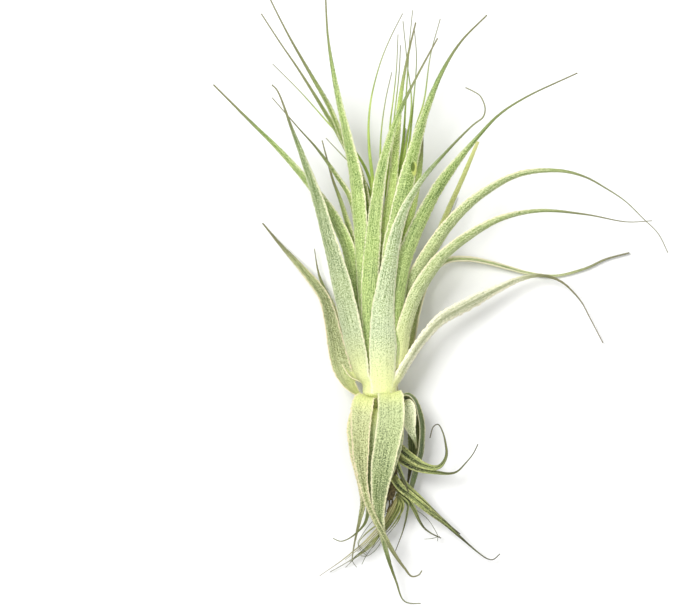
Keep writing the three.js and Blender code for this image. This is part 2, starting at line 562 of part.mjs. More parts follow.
// A round rod through [x, y, z, radius] points.
const rodSolid = (points, sides) => {
  const curve = new THREE.CatmullRomCurve3(
    points.map(([x, y, z]) => new THREE.Vector3(x, y, z)), false, "centripetal",
  );
  const last = points.length - 1;
  const rings = points.map(([x, y, z, r], i) => {
    const tangent = curve.getTangent(i / last);
    const side = new THREE.Vector3(0, 0, 1).cross(tangent).normalize();
    const up = tangent.clone().cross(side);
    return Array.from({ length: sides }, (_, j) => {
      const a = (-2 * Math.PI * (j + 0.5)) / sides;
      return new THREE.Vector3(x, y, z)
        .addScaledVector(side, r * Math.cos(a))
        .addScaledVector(up, r * Math.sin(a))
        .toArray();
    });
  });
  return solidOf(closedLoft(rings));
};

// Pieces are placed one after another, and each gives way to those already there.
const placed = [];
const SURFACE = 40; // depth of the block below z = 0 that trims what rests on the surface flat
const below = solidOf(new THREE.BoxGeometry(400, 400, SURFACE).translate(0, 0, -SURFACE / 2));

const place = (name, solid, grown, colour) => {
  let fitted = solid.subtract(below);
  for (const other of placed) fitted = fitted.subtract(other.grown);
  placed.push({ name, grown, colour, solid: largestBody(fitted) });
};

const stemPoints = STEM.map(([y, x, z, r]) => [x, y, z, r]);
const stemSolid = (grow) =>
  rootPaths
    .map((path) => rodSolid(path.map((p) => [...p, ROOT_RADIUS + grow]), ROOT_SIDES))
    .reduce(
      (sum, root) => sum.add(root),
      rodSolid(stemPoints.map(([x, y, z, r]) => [x, y, z, r + grow]), STEM_SIDES),
    );
place("stem", stemSolid(0), stemSolid(CLEARANCE), "#8a7350");

for (const [name, leaf] of Object.entries(rosette)) {
  const radius = RING_RADIUS - RING_STEP * (leaf.ring - 1);
  const start = FIRST_RING_START + RING_RISE * (leaf.ring - 1);
  const base = [onRing(radius, leaf.at, start), onRing(radius, leaf.at, start + 2)];
  const full = { ...leaf, radius, channel: CHANNEL, path: [...base, ...leaf.path] };
  place(name, leafSolid(full), leafSolid(full, CLEARANCE), "#b9c79a");
}

for (const [name, leaf] of Object.entries(bent)) {
  const radius = WHORL_RADIUS[leaf.whorl];
  const base = onRing(radius, leaf.at, WHORL_Y[leaf.whorl]);
  const full = { ...leaf, radius, channel: BENT_CHANNEL, path: [base, ...leaf.path] };
  place(name, leafSolid(full), leafSolid(full, CLEARANCE), "#b4c2a2");
}

for (const [name, leaf] of Object.entries(curled)) {
  const full = { ...leaf, channel: CHANNEL };
  place(name, leafSolid(full), leafSolid(full, CLEARANCE), "#8f9a78");
}

const bunch = (paths, widths, at) => {
  const leaves = paths.map((path) => ({ at, widths, path, channel: BENT_CHANNEL }));
  const fuse = (grow) => leaves.map((leaf) => leafSolid(leaf, grow)).reduce((a, b) => a.add(b));
  return [fuse(0), fuse(CLEARANCE)];
};
const [youngSolid, youngGrown] = bunch(youngPaths, YOUNG_WIDTHS, 90);
const bud = rodSolid(BUD, 8);
const grownBud = rodSolid(BUD.map(([x, y, z, r]) => [x, y, z, r + CLEARANCE]), 8);
place("young_leaves", youngSolid.add(bud), youngGrown.add(grownBud), "#a9bd7a");
place("withered_spray", ...bunch(sprayPaths, SPRAY_WIDTHS, 90), "#9a9a7c");

const plant = new THREE.Group();
for (const { name, solid, colour } of placed) {
  const mesh = solid.getMesh();
  const geometry = new THREE.BufferGeometry()
    .setAttribute("position", new THREE.BufferAttribute(mesh.vertProperties, mesh.numProp))
    .setIndex(new THREE.BufferAttribute(mesh.triVerts, 1));
  geometry.computeVertexNormals();
  const material = new THREE.MeshStandardMaterial({ color: colour, roughness: 0.85, metalness: 0 });
  const piece = new THREE.Mesh(geometry, material);
  piece.name = name;
  plant.add(piece);
}

const middle = new THREE.Box3().setFromObject(plant).getCenter(new THREE.Vector3());
plant.position.set(-middle.x, -middle.y, 0);

export default plant;
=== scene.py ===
import math

import bpy
import numpy as np
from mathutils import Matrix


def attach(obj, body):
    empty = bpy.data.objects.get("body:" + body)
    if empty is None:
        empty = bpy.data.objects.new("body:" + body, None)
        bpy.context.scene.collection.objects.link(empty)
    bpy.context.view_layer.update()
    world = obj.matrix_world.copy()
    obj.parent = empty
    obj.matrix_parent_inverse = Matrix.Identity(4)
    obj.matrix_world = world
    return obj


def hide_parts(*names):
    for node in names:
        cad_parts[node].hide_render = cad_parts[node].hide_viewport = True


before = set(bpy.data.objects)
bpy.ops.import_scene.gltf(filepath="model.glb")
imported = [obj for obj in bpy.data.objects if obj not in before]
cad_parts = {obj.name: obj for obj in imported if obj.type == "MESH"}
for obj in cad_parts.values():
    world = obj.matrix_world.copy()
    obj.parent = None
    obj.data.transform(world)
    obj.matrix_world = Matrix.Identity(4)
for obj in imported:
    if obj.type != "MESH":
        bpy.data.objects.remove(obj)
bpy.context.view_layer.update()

# The short stem, brown and woody, with the papery rests of old leaf bases around it. Its broad
# top carries the leaves, and a few wiry roots come out of its foot. It grew over years, and each
# year's leaves withered and left their bases on it.
MILLIMETRE = 0.001  # the plant's places and sizes are in mm, with y = 0 at its neck
FOOTPRINT_MIDDLE = np.array([-19.773, -33.963, 0])  # moves plant places to the frame's origin
NECK_X = -0.8
NECK_HEIGHT = 17
STEM_SIDES = 40
STEM_STEP = 0.4
STEM_ROUGHNESS = 0.05
ROOT_RADIUS = 0.32
ROOT_SIDES = 8
ROOT_STEP = 0.35
ROOT_ROUGHNESS = 0.03
BARK_MOTTLE = 900  # patches about a millimetre wide
BARK_FIBRE = 3200
LIVE_FROM, LIVE_TO = -9, -6.5  # y over which the brown bark gives way to live cream tissue
STEM = [  # y, x of the axis, height of the axis, radius
    (-37.4, 2.5, 12.9, 0.8), (-35.6, 2.7, 13.3, 1.5), (-30, 3.2, 14.3, 1.9), (-22, 2.2, 15.4, 2.3),
    (-14, 0.9, 16.4, 2.7), (-8.6, -0.1, 16.8, 2.9), (-5, -0.8, 17, 3.2), (-4.2, -0.8, 17, 3.5),
    (-2.4, -0.8, 17, 5), (-0.9, -0.8, 17, 6.3), (-0.4, -0.8, 17, 6.1), (1.3, -0.8, 17, 4.9),
    (2.7, -0.8, 17, 3.9), (4.1, -0.8, 17, 2.9), (5.5, -0.8, 17, 1.9), (6.9, -0.8, 17, 0.9),
]
ROOTS = [
    [(2.6, -35, 12.6), (1.5, -37.8, 11.4), (0.7, -39.6, 10.8), (0.3, -41.4, 10.2)],
    [(2.2, -36, 12.8), (2.3, -39.4, 12.2), (1.5, -41.8, 11.6)],
    [(3, -36, 13.4), (3.3, -38.2, 13.8), (2.8, -39.8, 13.4)],
    [(3.4, -32, 15.4), (2.4, -34.8, 16.2), (1.6, -36.6, 15.2)],
]


def smooth(t):
    """An eased way from 0 to 1."""
    t = np.clip(t, 0, 1)
    return t * t * (3 - 2 * t)


def route(points, step):
    """Places about every step along a smooth curve through the points, and its directions there."""
    given = np.array(points, float)
    p = np.vstack([2 * given[0] - given[1], given, 2 * given[-1] - given[-2]])
    t = np.linspace(0, 1, 16, endpoint=False)[:, None]
    line = []
    for a, b, c, d in zip(p, p[1:], p[2:], p[3:]):
        ab, bc, cd = [math.sqrt(np.linalg.norm(v)) for v in (b - a, c - b, d - c)]
        leave = ((b - a) / ab - (c - a) / (ab + bc) + (c - b) / bc) * bc
        arrive = ((c - b) / bc - (d - b) / (bc + cd) + (d - c) / cd) * bc
        square = 3 * (c - b) - 2 * leave - arrive
        cube = 2 * (b - c) + leave + arrive
        line.append(b + leave * t + square * t**2 + cube * t**3)
    line = np.vstack([*line, given[-1]])
    run = np.concatenate([[0], np.cumsum(np.linalg.norm(np.diff(line, axis=0), axis=1))])
    stops = np.linspace(0, run[-1], max(6, round(run[-1] / step)) + 1)
    places = np.column_stack([np.interp(stops, run, line[:, k]) for k in range(3)])
    ways = np.gradient(places, stops, axis=0)
    return places, ways / np.linalg.norm(ways, axis=1)[:, None], stops


def skinned(rings):
    """Points and faces of a closed skin over rings of points, with a cap at each end."""
    count, sides = rings.shape[:2]
    ends = [rings[0].mean(0), rings[-1].mean(0)]
    points = np.vstack([rings.reshape(-1, 3), ends])
    first, last = count * sides, count * sides + 1
    faces = []
    for k in range(count - 1):
        for i in range(sides):
            j = (i + 1) % sides
            faces.append((k * sides + i, (k + 1) * sides + i, (k + 1) * sides + j, k * sides + j))
    top = (count - 1) * sides
    for i in range(sides):
        j = (i + 1) % sides
        faces.append((first, i, j))
        faces.append((last, top + j, top + i))
    return points, faces


def rod(points, radii, sides, step, roughness=0, draws=None):
    """A round rod through the points, with radii between them, roughened by chance."""
    places, ways, stops = route(points, step)
    given = np.array(points, float)
    marks = [stops[np.argmin(np.linalg.norm(places - g, axis=1))] for g in given]
    wide = np.interp(stops, marks, radii)
    angles = -2 * math.pi * (np.arange(sides) + 0.5) / sides
    rings = []
    for place, way, radius in zip(places, ways, wide):
        side = np.cross((0, 0, 1), way)
        side /= np.linalg.norm(side)
        up = np.cross(way, side)
        bumps = radius + (draws.normal(0, roughness, sides) if roughness else 0)
        over, high = np.cos(angles) * bumps, np.sin(angles) * bumps
        rings.append(place + np.outer(over, side) + np.outer(high, up))
    points, faces = skinned(np.array(rings))
    return points, faces, np.zeros((len(points), 2)), np.zeros((len(points), 2))


def shape(name, parts, material, node):
    """One mesh object from parts of (points, faces, places on the blade in mm, shares)."""
    points, faces, blade_mm, shares = [], [], [], []
    base = 0
    for part_points, part_faces, part_mm, part_shares in parts:
        points.append(part_points)
        faces += [tuple(base + i for i in face) for face in part_faces]
        blade_mm.append(part_mm)
        shares.append(part_shares)
        base += len(part_points)
    mesh = bpy.data.meshes.new(name)
    placed = (np.vstack(points) + FOOTPRINT_MIDDLE) * MILLIMETRE
    mesh.from_pydata(placed.tolist(), [], faces)
    corners = np.zeros(len(mesh.loops), np.int32)
    mesh.loops.foreach_get("vertex_index", corners)
    for map_name, values in (("blade_mm", np.vstack(blade_mm)), ("shares", np.vstack(shares))):
        uv = mesh.uv_layers.new(name=map_name)
        uv.data.foreach_set("uv", values[corners].astype(np.float32).ravel())
    mesh.polygons.foreach_set("use_smooth", [True] * len(mesh.polygons))
    mesh.materials.append(material)
    mesh.update()
    piece = bpy.data.objects.new(name, mesh)
    bpy.context.scene.collection.objects.link(piece)
    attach(piece, "root")
    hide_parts(node)


def colour(red, green, blue):
    """A colour given from 0 to 255 as a screen shows it, as light."""
    return tuple(((c / 255 + 0.055) / 1.055) ** 2.4 for c in (red, green, blue)) + (1,)


def add(tree, kind, sockets=(), **settings):
    """A shader node with its settings, and values or links for its sockets."""
    made = tree.nodes.new("ShaderNode" + kind)
    for key, value in settings.items():
        setattr(made, key, value)
    for key, value in dict(sockets).items():
        if isinstance(value, bpy.types.NodeSocket):
            tree.links.new(value, made.inputs[key])
        else:
            made.inputs[key].default_value = value
    return made


def stepped(tree, value, low, high, to_low=0.0, to_high=1.0):
    """The value's way from low to high, eased, as to_low to to_high."""
    sockets = {0: value, 1: low, 2: high, 3: to_low, 4: to_high}
    return add(tree, "MapRange", sockets, interpolation_type="SMOOTHSTEP").outputs[0]


def mixed(tree, share, a, b):
    """Colour a, with a share of colour b laid over it."""
    return add(tree, "Mix", {0: share, 6: a, 7: b}, data_type="RGBA").outputs[2]


def times(tree, a, b):
    return add(tree, "Math", {0: a, 1: b}, operation="MULTIPLY").outputs[0]


def plus(tree, a, b):
    return add(tree, "Math", {0: a, 1: b}, operation="ADD").outputs[0]


def new_finish(name, sheen=0.0):
    """An empty material's tree and its shader."""
    material = bpy.data.materials.new(name)
    material.use_nodes = True
    shader = material.node_tree.nodes["Principled BSDF"]
    shader.inputs["Sheen Weight"].default_value = sheen
    shader.inputs["Sheen Roughness"].default_value = 0.4
    return material, material.node_tree, shader


def bark_finish():
    """Dull brown bark and roots, mottled, and pale cream where the live leaves stand."""
    material, tree, shader = new_finish("stem_bark")
    place = add(tree, "TexCoord").outputs["Object"]
    mottle = add(tree, "TexNoise", {"Vector": place, "Scale": BARK_MOTTLE, "Detail": 4})
    mottle = mottle.outputs["Fac"]
    fibre = add(tree, "TexNoise", {"Vector": place, "Scale": BARK_FIBRE, "Detail": 3})
    fibre = fibre.outputs["Fac"]
    brown = mixed(tree, stepped(tree, mottle, 0.35, 0.65), colour(64, 56, 30), colour(116, 102, 62))
    brown = mixed(tree, stepped(tree, fibre, 0.5, 0.75, 0, 0.5), brown, colour(168, 152, 108))
    along = add(tree, "SeparateXYZ", {0: place}).outputs["Y"]
    neck_from, neck_to = [(FOOTPRINT_MIDDLE[1] + y) * MILLIMETRE for y in (LIVE_FROM, LIVE_TO)]
    live = stepped(tree, along, neck_from, neck_to)
    cream = stepped(tree, fibre, 0.4, 0.6)
    cream = mixed(tree, cream, colour(176, 184, 104), colour(222, 226, 158))
    tree.links.new(mixed(tree, live, brown, cream), shader.inputs["Base Color"])
    tree.links.new(stepped(tree, fibre, 0.3, 0.7, 0.7, 0.95), shader.inputs["Roughness"])
    bump = add(tree, "Bump", {"Strength": 0.6, "Distance": 0.0003, "Height": mottle})
    tree.links.new(bump.outputs[0], shader.inputs["Normal"])
    return material


draws = np.random.default_rng(list(b"stem"))
stem_points = [(x, y, z) for y, x, z, r in STEM]
stem_radii = [r for y, x, z, r in STEM]
stem_parts = [rod(stem_points, stem_radii, STEM_SIDES, STEM_STEP, STEM_ROUGHNESS, draws)]
for root_path in ROOTS:
    root_radii = [ROOT_RADIUS] * len(root_path)
    stem_parts.append(rod(root_path, root_radii, ROOT_SIDES, ROOT_STEP, ROOT_ROUGHNESS, draws))
shape("woody_stem", stem_parts, bark_finish(), "stem")

# The broad leaf in front, the widest. It is one live blade, hollow on its inner side, thick with
# water and covered with silvery scales that drink from the air. It grew from the outer ring of
# the rosette, and its margins are pale and finely toothed.
RING_RADIUS = 6  # of the outermost ring of leaf bases
RING_STEP = 1
RING_RISE = 1.4
FIRST_RING_START = 0.6
BASE_OVERLAP = 1.2  # the live bases sit a little deeper on the stem's top than their solids
BASE_LENGTH = 2
ROOT_LENGTH = 7  # over which a base widens or narrows into its blade
TURN_LENGTH = 16  # over which a blade turns about its midline
CHANNEL = 1.35  # the angle in radians that a blade's cross-section bends through
TIP_CHANNEL = 0.5
FLATTER_FROM = 0.375  # share of the length where the channel begins to open towards the tip
TAPER_TO = 0.95
BLADE_STEP = 0.45
BLADE_COLUMNS = 13
WIDTH_EASING = 0.04  # share of the length over which the widths run into each other
WAVE_LENGTHS = (2.1, 3.7, 6.5)  # mm per radian of the slight waves in a blade's width
WAVE_SHARE = 0.012
THICKEST = 0.62
THREAD_THICKNESS = 0.2
THICKNESS_RISE = 0.1  # what each millimetre of width adds to the thickness
MARGIN_THINNING = 0.66
PLEATS = 2.2  # soft folds side by side across a blade
FULL_TEETH_WIDTH = 4  # narrower blades have smaller teeth
FULL_PLEAT_WIDTH = 6
GRAIN = 3000  # the scales on a leaf are about a third of a millimetre wide
PATCHES = 110  # the tissue's green changes over about a centimetre
FRAYING = 1700
VEIN_STRETCH = 0.06  # the veins run along the blade
ROW_SHARE = 0.02  # how much closer the scales lie in rows along the veins
DENSITY_RISE = 0.16
DENSITY_FULL = 0.04
SCATTER = (0.41, 0.59)  # from bare tissue to full cover
FULL_COVER = 0.92
SCALE_RELIEF = 0.00018
BLEMISH_SHAPE = (1500, 650, 0)  # a small spot, longer along the leaf
FRONT_LEAF = {
    "front_leaf": dict(
        at=84, ring=1, root=7.6,
        widths=[9, 10, 6.4, 3.8, 1.6, 0.8, 0.6],
        path=[
            (0, 14, 24.8), (0, 28, 28), (2.4, 45, 32), (5.6, 58.4, 36.5), (11.3, 70, 41.5),
            (21, 81.5, 46), (29.6, 90.1, 48), (33, 92.8, 48), (33.7, 95.2, 47.8),
            (33.3, 97.5, 47.4), (32, 100, 47), (30, 101.4, 46.6), (27.2, 102.8, 46),
        ],
    ),
}


def on_ring(radius, at, y):
    """A place on a ring round the neck's axis: 0 is right, 90 up, 180 left, 270 down."""
    a = math.radians(at)
    return (NECK_X + radius * math.cos(a), y, NECK_HEIGHT + radius * math.sin(a))


def turned(vector, axis, angle):
    """The vector turned about the axis."""
    c, s = math.cos(angle), math.sin(angle)
    return vector * c + np.cross(axis, vector) * s + axis * (axis @ vector) * (1 - c)


def blade(name, path, at, widths, root=None, radius=None, turn=0, channel=CHANNEL,
          columns=BLADE_COLUMNS, teeth=0.2, pleat=0.12, taper_from=0.6, taper=0.35):
    """A leaf blade along a path: its points, faces, places in mm, and shares.

    It starts where at says round the neck, as wide as root on a ring of that radius, and its
    widths follow at even steps. The shares are the distance from the margin and the share of
    the length."""
    chance = np.random.default_rng(list(name.encode()))
    places, ways, stops = route(path, BLADE_STEP)
    count = len(places)
    s = stops / stops[-1]
    at = math.radians(at)
    across = np.array([-math.sin(at), 0, math.cos(at)])
    spots = np.linspace(0, 1, len(widths))
    aheads = (-WIDTH_EASING, 0, WIDTH_EASING)
    wide = sum(np.interp(s + ahead, spots, widths) for ahead in aheads) / len(aheads)
    waves = sum(np.sin(stops / length + chance.uniform(0, 6.3)) for length in WAVE_LENGTHS)
    narrowing = 1 - taper * smooth((s - taper_from) / (TAPER_TO - taper_from))
    wide = wide * (1 + WAVE_SHARE * waves) * narrowing
    near = smooth(stops / ROOT_LENGTH)
    bend = channel + (TIP_CHANNEL - channel) * smooth((s - FLATTER_FROM) / (1 - FLATTER_FROM))
    if root:
        wide = root + (wide - root) * near
        bend = root / radius + (bend - root / radius) * near
    turns = -math.radians(turn) * smooth(stops / TURN_LENGTH)
    u = np.sin(np.linspace(-1, 1, columns) * math.pi / 2)
    tooth = teeth * np.minimum(1, wide / FULL_TEETH_WIDTH)[:, None]
    ragged = chance.uniform(-0.5, 1, (count, 2)) * tooth
    crease = chance.uniform(-1, 1)
    rings, mm, shares = [], [], []
    for i in range(count):
        way = ways[i]
        across = across - way * (across @ way)
        across /= np.linalg.norm(across)
        side = turned(across, way, turns[i])
        inward = np.cross(side, way)
        arc = wide[i] / bend[i]
        angles = u * bend[i] / 2
        edge = np.abs(u) ** 6 * np.where(u < 0, -ragged[i, 0], ragged[i, 1])
        half = min(THICKEST, THREAD_THICKNESS + THICKNESS_RISE * wide[i]) / 2
        thick = half * (1 - MARGIN_THINNING * np.abs(u) ** 3)
        depth = pleat * min(1, wide[i] / FULL_PLEAT_WIDTH) * near[i]
        folds = depth * np.cos(PLEATS * math.pi * u + crease) * (1 - u**4)
        middle = places[i] + inward * arc
        out = arc + thick + folds
        back = np.maximum(arc - thick + folds, 0.03)
        faces_of_ring = []
        for reach in (out, back):
            over = np.outer(np.sin(angles) * reach + edge, side)
            faces_of_ring.append(middle + over - np.outer(np.cos(angles) * reach, inward))
        rings.append(np.vstack([faces_of_ring[0], faces_of_ring[1][::-1]]))
        across_mm = u * wide[i] / 2
        margin = wide[i] / 2 * (1 - np.abs(u))
        along_mm, share = np.full(2 * columns, stops[i]), np.full(2 * columns, s[i])
        mm.append(np.column_stack([np.concatenate([across_mm, across_mm[::-1]]), along_mm]))
        shares.append(np.column_stack([np.concatenate([margin, margin[::-1]]), share]))
    points, faces = skinned(np.array(rings))
    mm = np.vstack([*mm, [(0, 0), (0, stops[-1])]])
    shares = np.vstack([*shares, [(wide[0] / 2, 0), (wide[-1] / 2, 1)]])
    return points, faces, mm, shares


def leaf_finish(name, tissue, scales, base, tip, margin, silver, base_length, tip_from,
                mid_line=0.0, rim_width=0.6, thin_share=0.6, streaks=0.3, veins=2.2, frosting=0.4,
                blemish=None):
    """A leaf's skin: green tissue under pale scales, with another colour at base, tip and margins.

    silver says how thick the scales lie at the base and at the tip, base_length over which mm
    the base's colour fades, and tip_from at which share of the length the tip's begins."""
    material, tree, shader = new_finish(name, sheen=0.1)
    place = add(tree, "TexCoord").outputs["Object"]
    mm = add(tree, "SeparateXYZ", {0: add(tree, "UVMap", uv_map="blade_mm").outputs[0]})
    shares = add(tree, "SeparateXYZ", {0: add(tree, "UVMap", uv_map="shares").outputs[0]})
    from_margin, length = shares.outputs["X"], shares.outputs["Y"]
    from_middle = add(tree, "Math", {0: mm.outputs["X"]}, operation="ABSOLUTE").outputs[0]
    half_width = plus(tree, from_margin, from_middle)
    sizes = {"Vector": place, "Scale": GRAIN, "Detail": 2, "Roughness": 0.6}
    grain = add(tree, "TexNoise", sizes).outputs["Fac"]
    patch = add(tree, "TexNoise", {"Vector": place, "Scale": PATCHES, "Detail": 4}).outputs["Fac"]
    over, up = times(tree, mm.outputs["X"], veins), times(tree, mm.outputs["Y"], VEIN_STRETCH)
    stretched = add(tree, "CombineXYZ", {0: over, 1: up}).outputs[0]
    vein = add(tree, "TexNoise", {"Vector": stretched, "Scale": 1, "Detail": 2}).outputs["Fac"]
    dark, light = tissue
    green = mixed(tree, stepped(tree, patch, 0.35, 0.65), dark, light)
    green = mixed(tree, stepped(tree, vein, 0.42, 0.6, 0, streaks), green, scales)
    thick, sparse = [DENSITY_RISE * (share - 1) + DENSITY_FULL for share in silver]
    density = stepped(tree, length, 0.05, 0.85, thick, sparse)
    rows = stepped(tree, vein, 0.36, 0.64, -ROW_SHARE, ROW_SHARE)
    scatter = plus(tree, plus(tree, grain, density), rows)
    cover = stepped(tree, scatter, *SCATTER, 0, FULL_COVER)
    cover = times(tree, cover, stepped(tree, half_width, 0.4, 1.2, 0.3, 1))
    skin = mixed(tree, cover, green, scales)
    if mid_line:
        skin = mixed(tree, stepped(tree, from_middle, 0.2, 0.7, mid_line, 0), skin, dark)
    low, high = base_length
    glow = stepped(tree, mm.outputs["Y"], low, high, 0.9, 0)
    glow = times(tree, glow, stepped(tree, grain, 0.36, 0.56, 0.7, 1))
    skin = mixed(tree, glow, skin, base)
    thin = stepped(tree, half_width, 0.3, 0.9, thin_share, 0)
    skin = mixed(tree, times(tree, thin, stepped(tree, length, 0.2, 0.6)), skin, tip)
    skin = mixed(tree, stepped(tree, length, tip_from, 1), skin, tip)
    frayed = add(tree, "TexNoise", {"Vector": place, "Scale": FRAYING, "Detail": 2}).outputs["Fac"]
    inside = plus(tree, from_margin, stepped(tree, frayed, 0.3, 0.7, -0.3, 0.3))
    wide_enough = stepped(tree, half_width, 0.5, 1.6)
    fading = times(tree, stepped(tree, length, 0.5, 0.9, 1, 0.1), wide_enough)
    frost = times(tree, stepped(tree, inside, 0.2, 1.6, frosting, 0), fading)
    rim = times(tree, stepped(tree, inside, 0.4 * rim_width, rim_width, 0.9, 0), fading)
    skin = mixed(tree, rim, mixed(tree, frost, skin, scales), margin)
    if blemish:
        for middle, out_to, mark in blemish:
            offset = add(tree, "VectorMath", {0: place, 1: middle}, operation="SUBTRACT").outputs[0]
            drawn = add(tree, "VectorMath", {0: offset, 1: BLEMISH_SHAPE}, operation="MULTIPLY")
            away = add(tree, "VectorMath", {0: drawn.outputs[0]}, operation="LENGTH")
            away = plus(tree, away.outputs["Value"], patch)
            marked = stepped(tree, away, 0.6 * out_to + 0.5, out_to + 0.5, 0.85, 0)
            skin = mixed(tree, marked, skin, mark)
    tree.links.new(skin, shader.inputs["Base Color"])
    tree.links.new(stepped(tree, grain, 0.35, 0.65, 0.6, 0.85), shader.inputs["Roughness"])
    height = plus(tree, grain, times(tree, vein, 0.5))
    bump = add(tree, "Bump", {"Strength": 0.5, "Distance": SCALE_RELIEF, "Height": height})
    tree.links.new(bump.outputs[0], shader.inputs["Normal"])
    return material


def grow(leaves, material, teeth=0.2, taper=0.35):
    """Each leaf of the rosette on its ring, as one piece."""
    for name, leaf in leaves.items():
        values = dict(leaf)
        ring = values.pop("ring")
        radius = RING_RADIUS - RING_STEP * (ring - 1)
        start = FIRST_RING_START + RING_RISE * (ring - 1)
        base = [
            on_ring(radius, values["at"], start - BASE_OVERLAP),
            on_ring(radius, values["at"], start + BASE_LENGTH),
        ]
        values["path"] = base + values["path"]
        part = blade(name, radius=radius, teeth=teeth, taper=taper, **values)
        shape(name + "_blade", [part], material, name)


CREAM = colour(232, 236, 164)
MARGIN = colour(240, 236, 200)
THREAD = colour(126, 124, 88)
silvery = leaf_finish(
    "silvery_leaf", (colour(90, 118, 48), colour(116, 142, 66)), colour(228, 238, 196),
    CREAM, THREAD, MARGIN, (1.05, 0.1), (2, 24), 0.78)
grow(FRONT_LEAF, silvery)

# The wide leaf left of it, a live blade from the same outer ring of the rosette. It hangs a little
# lower and more in the shade, and its duller scales and darker tissue are painted shade for that.
FRONT_LEFT_LEAF = {
    "front_left_leaf": dict(
        at=154, ring=1, root=7, turn=-28,
        widths=[7.6, 8.8, 8.8, 6, 4.2, 2, 0.6],
        path=[
            (-8, 5.4, 20.6), (-9, 10, 22), (-10.3, 15.5, 24), (-13, 28, 26.5), (-16.2, 42, 28.5),
            (-19, 52.5, 30), (-22.5, 65.4, 32), (-27, 78.6, 35), (-31.2, 89.7, 37.5),
            (-36, 102.3, 39.5), (-37.8, 104.2, 40),
        ],
    ),
}
front_left_painted_shade = leaf_finish(
    "front_left_painted_shade_leaf", (colour(82, 106, 46), colour(106, 128, 62)), colour(212, 222, 178),
    CREAM, THREAD, MARGIN, (1.05, 0.1), (4, 26), 0.78)
grow(FRONT_LEFT_LEAF, front_left_painted_shade)

# The tall leaves behind them, live blades which stand nearest to the plant's axis. They grew later
# and are fresher green, with fewer scales towards their long thread-like tips.
TALL_LEAVES = {
    "centre_left_leaf": dict(
        at=120, ring=2, root=5, turn=-12,
        widths=[5.6, 6.6, 6.6, 5, 3.2, 1, 0.6],
        path=[
            (-3.8, 14, 22.8), (-4.8, 28, 24), (-4.8, 39, 24.6), (-4.1, 49, 25.4),
            (-2.4, 65.6, 27.4), (0, 79.3, 30), (4.5, 93.4, 33.5), (10.5, 106, 36.5),
            (18.1, 120, 39),
        ],
    ),
    "tall_left_leaf": dict(
        at=135, ring=3, root=4.2, turn=-12,
        widths=[4.4, 6, 6, 5.9, 2.9, 1.1, 0.6],
        path=[
            (-4.4, 14, 20.4), (-6, 25, 20.8), (-7.3, 42, 21.6), (-8.3, 57.5, 22.8),
            (-9.7, 73, 24.4), (-12.4, 86.6, 26), (-16.6, 106.2, 28), (-19, 121.8, 29.5),
            (-20, 142.5, 31),
        ],
    ),
    "right_upper_leaf": dict(
        at=64, ring=2, root=5, turn=4,
        widths=[5.4, 6, 6.6, 6.4, 6.2, 5.8, 5.2, 4.2, 1.8, 1.1, 0.9, 0.7, 0.6],
        path=[
            (3.4, 14, 22.8), (4.4, 28, 24.8), (6, 39, 26.4), (7.6, 46, 27.6), (12.5, 58, 30),
            (19, 70.3, 33.5), (25.7, 79.5, 36), (31.4, 86.3, 38), (38.7, 94, 40),
            (47.4, 99.7, 41.5), (64.9, 107.9, 43),
        ],
    ),
    "far_left_leaf": dict(
        at=167, ring=2, root=4, turn=-50,
        widths=[4.2, 5.2, 6, 4.8, 2.7, 1.5, 0.7],
        path=[
            (-7, 12, 17), (-9.4, 28, 15.8), (-10.2, 39, 17), (-12.2, 49, 19), (-15.8, 57.5, 21),
            (-20.6, 65, 23), (-27.5, 73.8, 25), (-36.4, 83.7, 27), (-45.6, 92.7, 29),
            (-57.9, 104.9, 31.5),
        ],
    ),
}
fresh = leaf_finish(
    "fresh_leaf", (colour(80, 114, 30), colour(112, 142, 50)), colour(210, 226, 154),
    CREAM, THREAD, MARGIN, (0.84, 0.45), (2, 18), 0.8)
grow(TALL_LEAVES, fresh, taper=0.25)

# Two younger ones between them, which grew last of the tall leaves. Their lighter and yellower
# green is partly young tissue and partly painted light, against the shade of the leaves around
# them, and the scales on it are still thin.
YOUNG_TALL_LEAVES = {
    "tall_middle_leaf": dict(
        at=90, ring=4, root=3,
        widths=[3, 4.4, 4.5, 3.9, 2.8, 1.3, 0.6],
        path=[
            (0.4, 14, 20.4), (0.8, 30, 21), (1.4, 57.5, 22.6), (3, 70, 24), (4.4, 86, 26),
            (6, 102, 28), (8.2, 114.5, 30), (10.9, 126, 32),
        ],
    ),
    "right_inner_leaf_1": dict(
        at=30, ring=5, root=2, turn=30,
        widths=[2, 2.4, 3.4, 4.2, 4.2, 3.4, 0.6],
        path=[
            (2.6, 14, 18.2), (3.8, 30, 18.8), (6, 50, 20.7), (9.6, 62, 22.5), (12.1, 75, 24.2),
            (13.2, 84, 25.2), (13.4, 89.4, 26),
        ],
    ),
}
tender_and_painted_light = leaf_finish(
    "tender_and_painted_light_leaf", (colour(104, 138, 40), colour(138, 168, 62)), colour(226, 239, 162),
    CREAM, THREAD, MARGIN, (0.9, 0.6), (2, 18), 0.8)
grow(YOUNG_TALL_LEAVES, tender_and_painted_light, taper=0.25)

